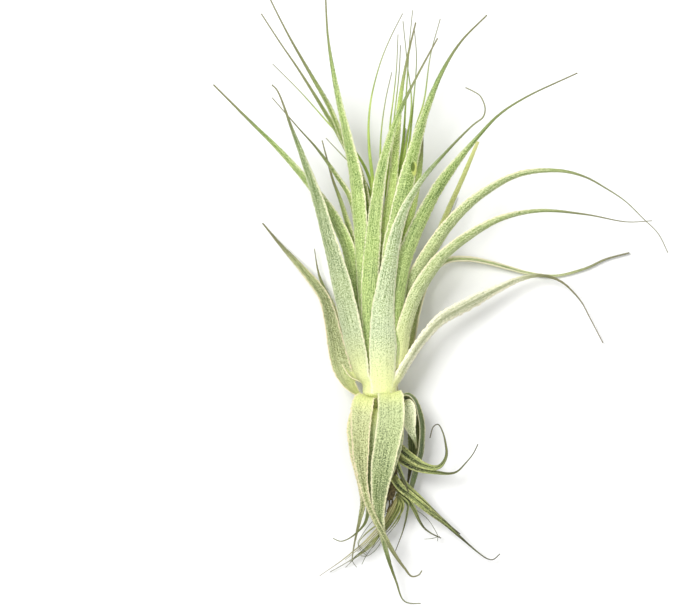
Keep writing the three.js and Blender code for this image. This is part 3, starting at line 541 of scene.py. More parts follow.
# The long leaf right of the middle, of the same age. A small place where it was hurt has healed to
# a dark spot beside a pale scar.
HURT_LEAF = {
    "tall_right_leaf": dict(
        at=78, ring=3, root=3.8,
        widths=[4, 5.4, 6.2, 6.4, 3.4, 1.3, 0.6],
        path=[
            (1.4, 14, 21.6), (1.8, 30, 22.8), (2.8, 49, 24.4), (6, 63, 26), (9, 76.5, 28),
            (11.2, 85.2, 30), (14.6, 96.5, 32), (20.1, 109.6, 34.5), (26.2, 119.2, 36.5),
            (34.8, 127.9, 38),
        ],
    ),
}
SCAR = ((FOOTPRINT_MIDDLE + (10.6, 76.4, 28)) * MILLIMETRE).tolist()
SPOT = ((FOOTPRINT_MIDDLE + (10, 77.1, 28)) * MILLIMETRE).tolist()
BLEMISH = [(SCAR, 1.9, colour(214, 222, 120)), (SPOT, 1.3, colour(66, 96, 12))]
hurt = leaf_finish(
    "hurt_leaf", (colour(80, 114, 30), colour(112, 142, 50)), colour(210, 226, 154),
    CREAM, THREAD, MARGIN, (0.88, 0.4), (2, 18), 0.8, blemish=BLEMISH)
grow(HURT_LEAF, hurt, taper=0.25)

# The arching leaves on the right and the hidden low one on the left. They are older and bend away
# from the axis in long bows, dry threads at their tips, with pale margins on both sides.
ARCHING_LEAVES = {
    "right_arching_leaf_1": dict(
        at=12, ring=3, root=4, turn=48,
        widths=[4.6, 5.4, 6, 6.2, 6, 4.9, 3.9, 2.9, 1.6, 0.9, 0.7, 0.6, 0.6],
        path=[
            (5, 14, 18), (7, 28, 19.2), (11, 39, 21.5), (15.5, 47, 24.5), (23.4, 58.2, 28.5),
            (33, 67.2, 32), (46, 74.2, 34), (59.8, 75.4, 34), (68.4, 73.4, 33), (75.3, 69.8, 31.6),
            (82.2, 65.4, 30), (88.6, 59.5, 28), (94, 54.3, 26), (97.5, 47.9, 24),
        ],
    ),
    "right_arching_leaf_2": dict(
        at=12, ring=2, root=4.6, turn=46,
        widths=[5.2, 6.4, 6.4, 4.4, 2, 1.1, 0.6],
        path=[
            (5.6, 8, 18.8), (6.6, 14.5, 20.6), (7.5, 21.4, 23.2), (11.4, 33, 27.4),
            (15.6, 40.2, 29.4), (20.5, 46.4, 31.4), (29.8, 53.8, 34.5), (39.9, 59.2, 37),
            (52.6, 61.7, 38.5), (68.2, 60.5, 38.5), (82.1, 58.1, 36.5), (90.9, 58.5, 35),
        ],
    ),
    "left_low_leaf_2": dict(
        at=207, ring=1, root=4.4, turn=28,
        widths=[4.2, 4.2, 4.2, 3.6, 2.6, 1.4, 0.6],
        path=[
            (-10.4, 5.2, 12.8), (-13, 10, 11.4), (-14.5, 15.4, 9.8), (-15.6, 21, 8.2),
            (-17.3, 28, 6.4), (-20, 34.5, 4.9), (-22.4, 41.4, 3.6), (-23.8, 49.7, 2.8),
        ],
    ),
}
arching = leaf_finish(
    "arching_leaf", (colour(92, 120, 42), colour(124, 148, 62)), colour(228, 236, 182),
    CREAM, THREAD, colour(240, 230, 194), (1, 0.36), (6, 34), 0.62, frosting=0.2)
grow(ARCHING_LEAVES, arching, taper=0.55)

# The lowest leaf on the right, which bends down to the surface and lies along it. It is seen from
# the side, with broad cream margins round a green blade.
LOWEST_LEAF = {
    "right_low_leaf_2": dict(
        at=335, ring=1, root=4.6, turn=-10,
        widths=[4.6, 5, 5, 4.8, 3.5, 2.1, 1],
        path=[
            (7, 8, 13), (10.2, 17, 10.6), (12.2, 27, 8.6), (14.8, 36, 7), (18, 41.8, 5.8),
            (22.6, 45, 5), (30, 45.6, 4), (37.4, 44.4, 2.8), (44, 42.7, 1.5), (51, 41, 0.7),
            (61, 40.2, 0.25), (71.4, 42.8, 0.6), (78.3, 46, 0.7), (86.6, 48.3, 0.8),
        ],
    ),
}
edged = leaf_finish(
    "edged_leaf", (colour(100, 124, 44), colour(130, 150, 66)), colour(222, 230, 170),
    CREAM, THREAD, colour(246, 238, 206), (0.9, 0.4), (6, 30), 0.7, rim_width=1.3, thin_share=0.4)
grow(LOWEST_LEAF, edged, taper=0.1)

# The old channelled leaf on the lower right. Its scales have gone silvery buff, its margins are
# white and coarsely toothed, and a dark line runs along its middle.
BUFF_LEAF = {
    "right_low_leaf_1": dict(
        at=42, ring=1, root=4.6, turn=28,
        widths=[5, 3.7, 3.6, 4.4, 5, 3.5, 1.8, 1, 0.7, 0.6, 0.6],
        path=[
            (5.2, 4.6, 20.6), (6.9, 7.6, 20.2), (8.9, 11, 19.4), (13.6, 17.9, 17.6),
            (20, 24.8, 15.4), (30.2, 30.5, 12.6), (40.8, 36, 10), (47.8, 39, 8.4), (54.9, 40.3, 7),
            (61.9, 38.4, 5.6), (69, 31.8, 4), (72.6, 25.5, 2.8), (77.3, 16.7, 1.4),
        ],
    ),
}
buff = leaf_finish(
    "buff_leaf", (colour(106, 116, 66), colour(144, 150, 98)), colour(230, 230, 198),
    CREAM, colour(116, 106, 74), colour(246, 240, 214), (0.95, 0.6), (2, 12), 0.65, mid_line=0.4,
    rim_width=1)
grow(BUFF_LEAF, buff, teeth=0.3, taper=0.5)

# The inner leaves on the left, narrow and half hidden. They grew from the inner rings between the
# others, and their darker tissue and fewer scales are painted shade, for the shadow the others
# cast.
INNER_LEAVES = {
    "left_inner_leaf_1": dict(
        at=150, ring=4, root=3, turn=-10,
        widths=[3, 4, 4, 3.8, 2.6, 1, 0.6],
        path=[
            (-4, 14, 18), (-5.4, 28, 17.6), (-7, 42, 18.2), (-9, 56, 19.2), (-11.4, 66.5, 20.4),
            (-16.6, 75, 22.5), (-22.8, 83.5, 24.2), (-28.6, 90, 25.5), (-38, 100.7, 28),
        ],
    ),
    "left_inner_leaf_2": dict(
        at=210, ring=4, root=3, turn=-80,
        widths=[3, 3.6, 3.6, 3.4, 2.6, 1.4, 0.6],
        path=[
            (-4, 14, 14.8), (-5.8, 28, 14), (-7.8, 42, 14.8), (-10.7, 52.5, 16),
            (-14.8, 66.2, 17.6), (-17.3, 73, 18.6), (-19, 79, 19.6), (-21, 86.6, 20.6),
        ],
    ),
}
inner_painted_shade = leaf_finish(
    "inner_painted_shade_leaf", (colour(62, 84, 20), colour(92, 114, 38)), colour(188, 202, 128),
    CREAM, THREAD, MARGIN, (0.7, 0.35), (2, 14), 0.65)
grow(INNER_LEAVES, inner_painted_shade)
YOUNG_INNER_LEAVES = {
    "upper_left_leaf_1": dict(
        at=125, ring=5, root=2,
        widths=[2, 2.8, 3, 2.8, 2, 1, 0.6],
        path=[
            (-1.6, 16, 18.7), (-2.2, 30, 19), (-3.8, 48, 19.6), (-5.6, 64.5, 20.2), (-8, 75, 20.8),
            (-14.1, 87, 22), (-18.3, 97.3, 23.4), (-25.2, 109.4, 25.6), (-32.1, 121.4, 28),
            (-39, 135, 30), (-42, 142, 31),
        ],
    ),
    "upper_left_leaf_2": dict(
        at=200, ring=5, root=2, turn=-90,
        widths=[2.4, 2.6, 2.6, 2.4, 1.6, 0.9, 0.6],
        path=[
            (-2.4, 16, 16), (-3.4, 30, 16.1), (-4.8, 48, 16.7), (-6.6, 64.5, 17.4),
            (-9.2, 76, 18.2), (-14.8, 87.6, 19.6), (-20, 96.3, 21), (-28.6, 110, 23.6),
            (-35.5, 120, 25.6), (-41.7, 129.4, 27.5),
        ],
    ),
}
# The upper left leaves take the same darker colours, painted shade from the leaves over them.
grow(YOUNG_INNER_LEAVES, inner_painted_shade)

# One narrow inner leaf on the right. It has turned about its midline as it grew, so that the pale
# yellow tissue of its inner side shows.
YELLOW_LEAF = {
    "right_inner_leaf_2": dict(
        at=330, ring=4, root=3, turn=105,
        widths=[3, 3.4, 3.2, 2.4, 1.9, 1.7, 1.2],
        path=[
            (4, 14, 14.8), (6.4, 28, 14.6), (11, 38, 16.5), (16.4, 48, 19), (21.2, 60, 20.8),
            (26.8, 72.5, 22.5), (32.4, 86, 24),
        ],
    ),
}
yellow = leaf_finish(
    "yellow_leaf", (colour(160, 172, 84), colour(188, 196, 112)), colour(226, 228, 164),
    CREAM, colour(204, 204, 138), MARGIN, (0.8, 0.6), (2, 18), 0.9, thin_share=0.1)
grow(YELLOW_LEAF, yellow, taper=0)

# The leaves on the underside, which the plant lies on. They are as old as the arching leaves, of
# the same tissue and scales, and spread down and out from the neck.
UNDER_LEAVES = {
    "under_leaf_1": dict(
        at=225, ring=2, root=4.6, turn=10,
        widths=[4.6, 5, 5, 4.2, 3, 1.8, 0.6],
        path=[
            (-5.6, 9, 11.4), (-9, 20, 8.6), (-13, 32, 6), (-16.5, 45, 3.8), (-20, 58, 2),
            (-23, 70, 0.8), (-24.5, 76, 0.9),
        ],
    ),
    "under_leaf_2": dict(
        at=255, ring=3, root=4,
        widths=[4.4, 6, 6, 5, 3.6, 2, 0.6],
        path=[
            (-2, 12, 11), (-4, 28, 8), (-6.5, 45, 5.4), (-9, 64, 2.6), (-10.5, 78, 0.9),
            (-11.8, 88, 0.25), (-13.6, 94, 0.8),
        ],
    ),
    "under_leaf_3": dict(
        at=315, ring=3, root=4,
        widths=[4, 5, 5, 4, 2.8, 1.6, 0.6],
        path=[
            (4.6, 12, 12), (7.6, 24, 9.4), (12, 37, 6.6), (17.5, 50, 3.8), (22.5, 60, 1.8),
            (26, 68, 0.9),
        ],
    ),
    "under_leaf_4": dict(
        at=270, ring=4, root=3,
        widths=[3, 4.6, 5, 4.4, 3, 1.8, 0.6],
        path=[
            (1, 14, 12.4), (2, 30, 9), (3.6, 48, 5.6), (5.6, 66, 2.4), (7, 80, 0.25), (8, 92, 0.8),
        ],
    ),
}
grow(UNDER_LEAVES, arching)

# The oldest live leaves, below the neck. Each leaves the stem outwards, folds over and hangs back
# over the stem. Their scales lie thick, so that they look pale sage, and their tips have dried.
WHORL_RADIUS = [4.6, 3.9]
WHORL_Y = [-3.3, -7.2]
BENT_CHANNEL = 0.8
BENT_LEAVES = {
    "bent_leaf_2": dict(
        at=70, whorl=0, root=4.6, turn=-12,
        widths=[8.4, 9.3, 9.4, 8.9, 6.8, 4.6, 2.6, 1.9, 1.3, 0.9, 0.6],
        path=[
            (1.9, -1.4, 23), (2.3, -0.4, 24.8), (2.6, -2.6, 26.6), (2.6, -9, 27.4),
            (1.3, -16.6, 26.8), (0.1, -23.5, 25.2), (-0.9, -30.4, 22.6), (-1.4, -36, 19.8),
            (-1.2, -42, 16.6), (-0.5, -47, 14), (0.3, -51.5, 12), (1.8, -57.5, 10),
            (3.2, -62, 8.4), (4.8, -66.5, 7), (6.7, -72.2, 5.6), (8, -73.6, 5), (9.8, -74.2, 4.6),
            (13.4, -74.2, 4.4),
        ],
    ),
    "bent_leaf_6": dict(
        at=122, whorl=1, root=3.4, turn=26,
        widths=[4.6, 5.2, 4.6, 3.2, 1.8, 1, 0.6],
        path=[
            (-2.8, -5.6, 21.4), (-3.2, -6, 22.6), (-3.5, -9, 23), (-3.8, -14, 22.6),
            (-4.4, -20, 21.4), (-4.8, -27, 19.4), (-4.9, -34, 16.8), (-5, -40, 14.2),
            (-5.4, -43, 13), (-6.4, -46, 11.8), (-8.6, -48.6, 10.8), (-11.7, -51.1, 10),
            (-14.6, -52.1, 9.6), (-17.3, -51.1, 9.4),
        ],
    ),
    "bent_leaf_7": dict(
        at=65, whorl=1, root=3.4, turn=-17,
        widths=[5, 5.6, 5.4, 4.2, 2.6, 1.2, 0.6],
        path=[
            (2.9, -5.6, 21.6), (3.9, -6, 22.8), (4.7, -9, 23.4), (4.8, -14, 22.8),
            (4.2, -20, 21.4), (2.8, -27, 19), (1.4, -34, 16), (0.8, -42, 13),
        ],
    ),
}
sage = leaf_finish(
    "sage_leaf", (colour(60, 82, 26), colour(90, 110, 44)), colour(210, 221, 164),
    colour(226, 232, 148), colour(112, 116, 66), colour(236, 232, 190), (1, -0.25), (3, 12), 0.66)


def hang(leaves, material, taper=0.45):
    """Each bent-back leaf from its whorl on the stem, as one piece."""
    for name, leaf in leaves.items():
        values = dict(leaf)
        whorl = values.pop("whorl")
        radius = WHORL_RADIUS[whorl]
        values["path"] = [on_ring(radius, values["at"], WHORL_Y[whorl])] + values["path"]
        part = blade(name, radius=radius, channel=BENT_CHANNEL, taper=taper, **values)
        shape(name + "_blade", [part], material, name)


hang(BENT_LEAVES, sage)

# Two more of the same age, from the same two whorls on the stem. Their tissue has begun to turn
# olive and buff, and their tips have dried to threads.
TURNING_LEAVES = {
    "bent_leaf_1": dict(
        at=132, whorl=0, root=4.6, turn=46,
        widths=[7.5, 8, 6.9, 6.1, 4.1, 2.6, 2.1, 2.2, 1.9, 1.3, 0.6],
        path=[
            (-4.6, -2, 22.2), (-6.2, -2.2, 24.2), (-7.2, -5, 25.4), (-7.8, -10, 25.8),
            (-7.9, -17, 25.2), (-7.7, -23.5, 23.6), (-7, -30.4, 21.6), (-5.6, -37, 19.6),
            (-4.1, -41, 18.2), (-2.2, -45, 17), (0.3, -49.6, 16), (3, -54.4, 15),
            (5.4, -58.2, 14.2), (7.6, -61.2, 13.6), (10, -64, 12.8), (12.4, -63.6, 12.4),
            (13.6, -62, 12.4),
        ],
    ),
    "bent_leaf_9": dict(
        at=175, whorl=1, root=3.2, turn=60,
        widths=[5, 5.4, 4.4, 3.2, 2.1, 1.3, 0.6],
        path=[
            (-6, -6.6, 17.4), (-8.4, -6, 17.8), (-9.6, -7.6, 18), (-10, -12, 17.8),
            (-9.2, -22, 16), (-7.4, -32, 13), (-6.7, -38, 11.2), (-7.9, -44.5, 9.6),
            (-9.4, -51, 8), (-10.2, -55.4, 7.2), (-10.6, -58.6, 6.8),
        ],
    ),
}
turning = leaf_finish(
    "turning_leaf", (colour(76, 88, 32), colour(106, 116, 50)), colour(218, 223, 166),
    colour(224, 230, 146), THREAD, colour(236, 224, 184), (1, 0.15), (3, 12), 0.66, frosting=0.25)
hang(TURNING_LEAVES, turning)

# The low leaf on the left, which leaves the neck lowest of all and curves up along the rosette. Its
# tissue has begun to turn too, but its scales are still silvery.
LOW_LEFT_LEAF = {
    "left_low_leaf_1": dict(
        at=194, whorl=0, root=4.6, turn=40,
        widths=[6.4, 8.6, 7.4, 5.2, 4.2, 2.8, 0.9],
        path=[
            (-6.8, -2.4, 15.2), (-9.4, -0.8, 15), (-12, 2.2, 14.6), (-13.9, 6, 14.1),
            (-15.5, 11, 13.2), (-17, 18, 12), (-18.4, 25, 10.6), (-20.4, 32, 9.2),
            (-23, 36.2, 8.2), (-28.4, 42.8, 6.4), (-33, 48, 4.4), (-36.6, 52.1, 2.6),
            (-42, 58.7, 0.25),
        ],
    ),
}
greying = leaf_finish(
    "greying_leaf", (colour(86, 98, 40), colour(118, 130, 62)), colour(222, 228, 176),
    colour(226, 230, 150), THREAD, colour(242, 228, 194), (1, 0.2), (3, 12), 0.66)
hang(LOW_LEFT_LEAF, greying)

# A short bent-back leaf on the right, from the lower whorl. It grew in the light, so thick with
# scales that it looks hoary all over.
HOARY_LEAF = {
    "bent_leaf_8": dict(
        at=18, whorl=1, root=3.2, turn=-58,
        widths=[4, 4.4, 4.9, 5.2, 5.2, 4.2, 2.8, 1.4, 0.6],
        path=[
            (5.6, -5.6, 19.4), (7, -4.2, 20.8), (8.2, -4.6, 21.8), (8.7, -7, 21.8),
            (8.9, -10, 21.2), (9.8, -13.3, 20.4), (11, -17, 19), (11.6, -19.4, 18),
        ],
    ),
}
hoary = leaf_finish(
    "hoary_leaf", (colour(112, 132, 68), colour(138, 156, 90)), colour(238, 242, 202),
    colour(226, 232, 170), THREAD, colour(246, 242, 208), (1, 0.85), (2, 8), 0.8)
hang(HOARY_LEAF, hoary, taper=0.2)

# One bent-back leaf on the right, narrower, from the upper whorl. It hangs so that its hollow side
# shows between pale margins, and the dark green there is painted shade, for the shadow in the
# hollow.
HOLLOW_LEAF = {
    "bent_leaf_3": dict(
        at=8, whorl=0, root=4.6, turn=-46,
        widths=[4.6, 3.7, 3.7, 4.2, 4.8, 5.2, 2.8],
        path=[
            (6.6, -1.6, 17.6), (8.4, -1, 17.8), (10.6, -2.6, 17.4), (12.4, -7.1, 15.6),
            (13.3, -11.4, 13.6), (13.3, -16.8, 11.6), (12.8, -21.8, 10), (11.4, -27, 8.6),
            (10.3, -32, 7.8), (9.4, -36.6, 7),
        ],
    ),
}
hollow_painted_shade = leaf_finish(
    "hollow_painted_shade_leaf", (colour(52, 74, 20), colour(80, 102, 36)), colour(180, 196, 128),
    colour(120, 130, 60), colour(110, 104, 66), colour(234, 230, 190), (0, 0), (0, 3), 0.85,
    streaks=0.15, frosting=0.05)
hang(HOLLOW_LEAF, hollow_painted_shade, taper=0.1)

# The bent-back leaves under and behind the stem. Their dark olive is painted shade, for the deep
# shadow under the plant.
HIDDEN_LEAVES = {
    "bent_leaf_4": dict(
        at=256, whorl=0, root=4.6, turn=14,
        widths=[6, 7, 6.4, 5, 3.6, 2, 0.6],
        path=[
            (-1.6, -2.4, 10.4), (-1.9, -3, 8.6), (-2, -6, 7.6), (-1.6, -13, 5.2), (-0.6, -21, 2.2),
            (0.4, -28, 0.25), (1.4, -35, 0.5),
        ],
    ),
    "bent_leaf_5": dict(
        at=318, whorl=0, root=4.6, turn=28,
        widths=[6, 6.6, 6.2, 5, 3.4, 2, 0.6],
        path=[
            (5, -2, 12.6), (7, -2.2, 11.2), (9, -5, 10.2), (10.6, -12, 8), (10.6, -20, 5.4),
            (9.6, -28, 3), (8.4, -35, 1.4),
        ],
    ),
    "bent_leaf_10": dict(
        at=224, whorl=1, root=3.2,
        widths=[4.6, 5.2, 4.6, 3.4, 2.4, 1.6, 0.6],
        path=[
            (-4.6, -6, 12.8), (-6, -6.6, 11.4), (-6.8, -10, 10.2), (-6.6, -18, 7.6),
            (-5.6, -26, 4.6), (-4.6, -33, 2.2), (-4, -38, 1.2),
        ],
    ),
}
hidden_painted_shade = leaf_finish(
    "hidden_painted_shade_leaf", (colour(48, 58, 22), colour(74, 86, 36)), colour(150, 158, 98),
    colour(110, 116, 56), colour(92, 86, 58), colour(170, 172, 116), (0.1, 0), (0, 4), 0.6)
hang(HIDDEN_LEAVES, hidden_painted_shade)

# Small old leaves at the foot of the stem, dried from the tip down and curled. They are olive,
# narrow and stiff, and end in grey threads.
CURLED_LEAVES = {
    "curled_leaf_1": dict(
        at=85,
        widths=[3.4, 3.2, 2.2, 1.2, 0.8, 0.6, 0.6],
        path=[
            (4.9, -18.6, 16), (8, -21.4, 15.8), (11, -23.6, 15.2), (13.5, -25.2, 14.6),
            (17, -26.3, 14), (19.4, -26, 13.8), (21, -24.4, 14), (22, -21.7, 14.6),
            (21.6, -17.6, 15.6), (20.6, -13.8, 16.4), (19, -11.2, 16.8), (17.4, -12, 16.8),
            (16.2, -15.9, 16.4),
        ],
    ),
    "curled_leaf_2": dict(
        at=85,
        widths=[2.8, 2.8, 2, 1.2, 0.8, 0.6, 0.6],
        path=[
            (4.9, -22.4, 13.8), (7, -24, 13.2), (9.4, -25.4, 13), (12.8, -26.8, 12.8),
            (16.2, -27.6, 12), (23.1, -28.5, 10.5), (25.9, -27.8, 9.8), (28.6, -25.2, 9.6),
            (31.4, -21.7, 10), (33.1, -18.3, 10.4),
        ],
    ),
    "curled_leaf_3": dict(
        at=70,
        widths=[2, 1.8, 1.6, 1.2, 0.6],
        path=[
            (3.9, -22, 18.3), (5, -25.4, 18.4), (6.4, -28.8, 18), (7.8, -32, 17.2),
            (8.8, -34.6, 16.4),
        ],
    ),
    "curled_leaf_4": dict(
        at=80,
        widths=[3, 3, 2.5, 1.8, 1, 0.7, 0.6],
        path=[
            (3.4, -29, 17.2), (5.9, -32.7, 15.6), (9.4, -35.7, 13.6), (16.4, -41.6, 10.6),
            (21.7, -45.8, 8.4), (27, -50.8, 6.4), (34.1, -57, 4), (36.9, -58.8, 3.4),
            (38.7, -59, 3.4), (41.1, -57, 3.8),
        ],
    ),
    "curled_leaf_5": dict(
        at=80,
        widths=[2.4, 2.4, 2, 1.5, 1, 0.7, 0.6],
        path=[
            (6, -30.2, 13.4), (8.7, -33.3, 12.2), (13, -37.2, 10.2), (18.2, -42.1, 7.8),
            (23.5, -46.9, 5.4), (27.1, -50, 4),
        ],
    ),
    "curled_leaf_6": dict(
        at=75,
        widths=[1.8, 1.7, 1.5, 1.1, 0.8, 0.6],
        path=[
            (4.6, -33.4, 12.2), (6.1, -34.9, 11.2), (7.7, -36.4, 10.4), (9.5, -38.5, 9.6),
            (11.2, -41.6, 8.4), (12.7, -44.9, 7), (14.5, -47.7, 5.8), (17, -49.7, 5),
            (20.4, -51.4, 4.4),
        ],
    ),
    "curled_leaf_7": dict(
        at=70,
        widths=[1.8, 1.6, 1.2, 0.9, 0.6],
        path=[
            (4.4, -35.8, 12.4), (6.6, -37.1, 12.3), (8.5, -39, 11.4), (8.3, -42.5, 10),
            (7, -48.6, 8.6), (4.5, -55.7, 7),
        ],
    ),
}
drying = leaf_finish(
    "drying_leaf", (colour(16, 26, 3), colour(46, 62, 12)), colour(196, 208, 130),
    colour(104, 104, 48), colour(84, 80, 56), colour(212, 216, 140), (0.1, 0), (0, 4), 0.7,
    rim_width=0.4, streaks=0.55, veins=1.3, frosting=0.05)
for name, leaf in CURLED_LEAVES.items():
    part = blade(name, teeth=0.08, pleat=0.05, taper_from=0.4, taper=0.4, **leaf)
    shape(name + "_blade", [part], drying, name)

# The bud of slender young leaves in the middle of the rosette, one inside the other. They are
# hardly wider than a grass blade and end in fine grey threads.
YOUNG_WIDTHS = [1.6, 1.5, 1.4, 1.1, 0.8, 0.7, 0.6]
YOUNG_PATHS = [
    [(0, 36, 18.6), (-1.8, 52, 19), (-3.6, 73, 19.8), (-4.8, 84, 20.8), (-5, 92, 21.5),
     (-4.1, 101, 22.2), (-1, 113, 23.4), (2.4, 121.4, 24.4), (6.6, 129.7, 25.4)],
    [(0.4, 36, 18.8), (-0.4, 60, 19.6), (-0.9, 85.6, 21.4), (0.7, 99.7, 22.8), (2.9, 109.7, 24)],
    [(0.8, 36, 19), (1, 60, 20), (2.4, 92, 22.6), (3.5, 101, 23.4), (4.5, 111, 24.6),
     (5, 122.5, 26)],
    [(1, 36, 18.6), (1.4, 60, 19.3), (3.2, 88, 21), (5.5, 110.4, 22.8), (5.9, 119, 23.8)],
    [(1.2, 36, 18.8), (3.8, 60, 19.5), (8, 86, 21.6), (9.7, 99, 22.7), (8.3, 112, 24),
     (6.7, 127, 26)],
    [(1.2, 36, 18.5), (2.8, 60, 18.8), (6.6, 84, 20.4), (8, 104, 22.2), (9, 120, 24),
     (10, 130.8, 25.4)],
    [(1.3, 36, 18.3), (4.4, 60, 18.6), (8.6, 83, 20.2), (10.5, 101, 21.8), (11.4, 114.5, 23.2),
     (10.7, 124, 24.2)],
    [(1.4, 36, 18), (5.4, 60, 18), (11, 90, 20.4), (14, 100, 21.3), (16.2, 115.6, 23),
     (19.5, 128, 24.8)],
    [(-0.2, 36, 18), (-2.6, 60, 17.4), (-4.8, 74, 17.2), (-9.7, 83, 17.4), (-18.3, 92.1, 17.8),
     (-28.6, 103.5, 19.6), (-38, 112.8, 21.6)],
    [(0, 36, 17.6), (-3, 58, 16.4), (-4.9, 70, 16.1), (-8.4, 76.2, 16.1), (-13.1, 80.7, 16.6),
     (-19.7, 87.6, 17.4)],
]
BUD = [(0, 9, 17.2), (0.3, 22, 17.8), (0.8, 38, 18.5), (1, 44, 18.8)]
BUD_RADII = [1.1, 1.3, 1.2, 0.8]
BUD_SIDES = 16
BUD_STEP = 0.8
NARROW_COLUMNS = 7
slender = leaf_finish(
    "slender_leaf", (colour(128, 158, 52), colour(164, 190, 78)), colour(222, 234, 152),
    CREAM, colour(140, 140, 116), colour(214, 222, 150), (0.6, 0.3), (0, 6), 0.62, thin_share=0.05)
young_parts = [
    blade(f"young_{i}", path, 90, YOUNG_WIDTHS, channel=BENT_CHANNEL, columns=NARROW_COLUMNS,
          teeth=0.04, pleat=0, taper_from=0.25, taper=0.5)
    for i, path in enumerate(YOUNG_PATHS)
]
young_parts.append(rod(BUD, BUD_RADII, BUD_SIDES, BUD_STEP))
shape("young_leaf_bud", young_parts, slender, "young_leaves")

# Withered leaf ends and thin dead roots under the foot, brittle and shrunk. The ends have split
# into narrow straps as they dried. The first have bleached to straw, and the others are dull olive.
SPRAY_WIDTHS = [2, 1.8, 1.5, 1.1, 0.8, 0.6]
SPRAY_PATHS = [
    [(5.4, -36.2, 14), (4.4, -38.6, 12.9), (3.3, -41, 11.8), (1.6, -44.6, 9.6), (-1.9, -48.8, 7),
     (-5.8, -53, 5.4), (-9.6, -56.3, 4), (-13.1, -59.2, 3), (-21.1, -64.9, 1.4)],
    [(5.4, -36.2, 14), (5.4, -38.6, 12.9), (4.8, -40.8, 11.6), (2.9, -44.4, 9.4), (1, -47.4, 7.8),
     (-0.9, -50.4, 6.4), (-4.4, -54.8, 4.8), (-11.3, -59.9, 2.4), (-17.6, -63.6, 1.2)],
    [(5.4, -36.2, 14), (6.3, -38.6, 12.9), (6, -40.9, 11), (4.4, -44, 9.2), (1.8, -47.8, 7.2),
     (-2.1, -51.6, 5.2), (-7.1, -56.8, 3.2), (-12.1, -62, 1.2)],
    [(5.4, -36.2, 14), (6.8, -38.6, 12.9), (6.5, -41.2, 10.4), (5.6, -44.6, 8.6), (3.5, -48, 7),
     (1.4, -50.6, 5.8)],
    [(5.4, -36.2, 14), (4.4, -38.6, 12.6), (3, -41.4, 11.2), (0.6, -45, 9), (-3.9, -47.9, 7.8),
     (-7.9, -52, 6.6), (-8.5, -53.9, 6.2), (-7.5, -55.7, 5.8), (-5.4, -57.6, 5.4)],
]
STRAPS = [3, 3, 3, 1, 1]  # how many narrow straps each withered end has split into
STRAP_SHARE = 0.42  # of the withered end's width
STRAP_APART = 0.8
STRAP_STRAY = 0.12
STRAP_LIFT = 0.3
SHORTEST_STRAP = 5  # places along the path that a strap reaches at least
HAIR_RADIUS = 0.11
HAIR_SIDES = 6
HAIR_STEP = 0.4
HAIRS = [
    [(1.4, -42.4, 9.6), (-3.4, -45.2, 8.8), (-7.9, -51.4, 7.2), (-8.6, -53.1, 6.6),
     (-7.6, -54.5, 6.2), (-5.5, -56.6, 5.8)],
    [(1, -44, 8.8), (-1.7, -51.4, 6.6), (-5.9, -58, 4.4), (-7.2, -60.7, 3.6)],
    [(0.6, -45, 8.4), (-1, -53.5, 6.2), (-5.2, -57.6, 4.8), (-7.6, -57.6, 4.4)],
    [(-4.5, -53.8, 4.8), (-10.4, -59.3, 3), (-9, -61.8, 2.4)],
    [(11.4, -41.2, 8), (14.1, -43.1, 7), (16.2, -45.2, 6.4), (17.9, -47.8, 5.6), (19.3, -50.6, 5),
     (19.2, -52.4, 4.8)],
    [(20, -50.8, 4.4), (17.2, -51.6, 4.2), (14.6, -51.8, 4)],
]
draws = np.random.default_rng(list(b"withered"))
straps = []
for i, path in enumerate(SPRAY_PATHS):
    for k in range(STRAPS[i]):
        aside = STRAP_APART * (k - (STRAPS[i] - 1) / 2) + draws.uniform(-STRAP_STRAY, STRAP_STRAY)
        offset = np.array([aside, 0, draws.uniform(-STRAP_LIFT, STRAP_LIFT)])
        reach = max(SHORTEST_STRAP, len(path) - k)
        strap = [np.array(p) + offset * min(1, 0.3 + m / 2) for m, p in enumerate(path[:reach])]
        widths = [w * STRAP_SHARE * draws.uniform(0.8, 1.2) for w in SPRAY_WIDTHS]
        straps.append(blade(
            f"strap_{i}_{k}", strap, 90, widths, channel=BENT_CHANNEL, columns=NARROW_COLUMNS,
            teeth=0.06, pleat=0))
straw = leaf_finish(
    "withered_straw", (colour(96, 90, 38), colour(146, 140, 80)), colour(222, 218, 160),
    colour(150, 142, 88), colour(142, 138, 112), colour(216, 216, 164), (0.6, 0.4), (0, 3), 0.6,
    rim_width=0.2, thin_share=0.1, streaks=0.7, frosting=0.05)
olive = leaf_finish(
    "withered_olive", (colour(24, 32, 4), colour(80, 90, 26)), colour(206, 212, 132),
    colour(70, 76, 26), colour(112, 110, 84), colour(214, 218, 138), (0.3, 0.2), (0, 3), 0.6,
    rim_width=0.2, thin_share=0.1, streaks=0.7, frosting=0.05)
for hair in HAIRS:
    straps.append(rod(hair, [HAIR_RADIUS] * len(hair), HAIR_SIDES, HAIR_STEP))
shape("straw_straps", straps[:STRAPS[0]], straw, "withered_spray")
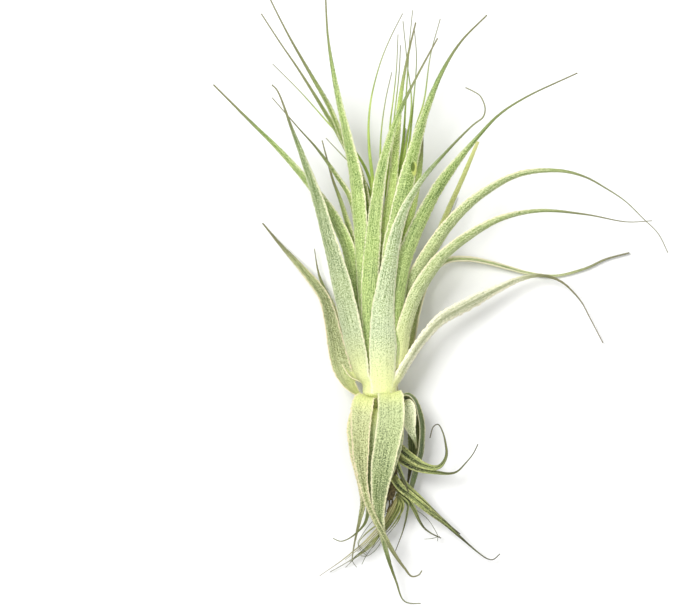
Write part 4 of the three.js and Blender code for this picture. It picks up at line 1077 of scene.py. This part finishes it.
shape("olive_straps", straps[STRAPS[0]:], olive, "withered_spray")

# The plain pale surface that the plant lies on, soft light from above, most of it from the upper
# left, and the camera straight over the plant.
SURFACE_SIDE = 3
SURFACE_DROP = 0.0004
PAPER_COLOUR = (0.9, 0.9, 0.89, 1)
PAPER_ROUGHNESS = 0.9
ROOM_STRENGTH = 0.24
CAMERA_OVER = (-15, 29.3)  # the place in the plant that the camera stands over
CAMERA_HEIGHT = 1017
LENS = 153.7
SENSOR_WIDTH = 36
bpy.ops.mesh.primitive_plane_add(size=SURFACE_SIDE, location=(0, 0, -SURFACE_DROP))
surface = bpy.context.object
surface.name = "pale_surface"
paper = bpy.data.materials.new("pale_paper")
paper.use_nodes = True
paper_shader = paper.node_tree.nodes["Principled BSDF"]
paper_shader.inputs["Base Color"].default_value = PAPER_COLOUR
paper_shader.inputs["Roughness"].default_value = PAPER_ROUGHNESS
surface.data.materials.append(paper)


def window(name, place, side, power):
    """A large soft light that faces the plant."""
    light = bpy.data.lights.new(name, "AREA")
    light.shape = "SQUARE"
    light.size = side
    light.energy = power
    lamp = bpy.data.objects.new(name, light)
    lamp.location = place
    lamp.rotation_euler = (-lamp.location).to_track_quat("-Z", "Y").to_euler()
    bpy.context.scene.collection.objects.link(lamp)


window("window_light", (-0.45, 0.35, 1.1), 0.5, 14)
window("fill_light", (0.3, -0.2, 1.3), 1.2, 7.6)
scene = bpy.context.scene
scene.world = bpy.data.worlds.new("soft_room")
scene.world.use_nodes = True
background = scene.world.node_tree.nodes["Background"]
background.inputs["Color"].default_value = (1, 1, 1, 1)
background.inputs["Strength"].default_value = ROOM_STRENGTH
scene.view_settings.view_transform = "Standard"

camera = bpy.data.cameras.new("camera")
camera.lens = LENS
camera.sensor_width = SENSOR_WIDTH
camera_stand = bpy.data.objects.new("camera", camera)
over = (FOOTPRINT_MIDDLE + (*CAMERA_OVER, CAMERA_HEIGHT)) * MILLIMETRE
camera_stand.location = over.tolist()
scene.collection.objects.link(camera_stand)
scene.camera = camera_stand
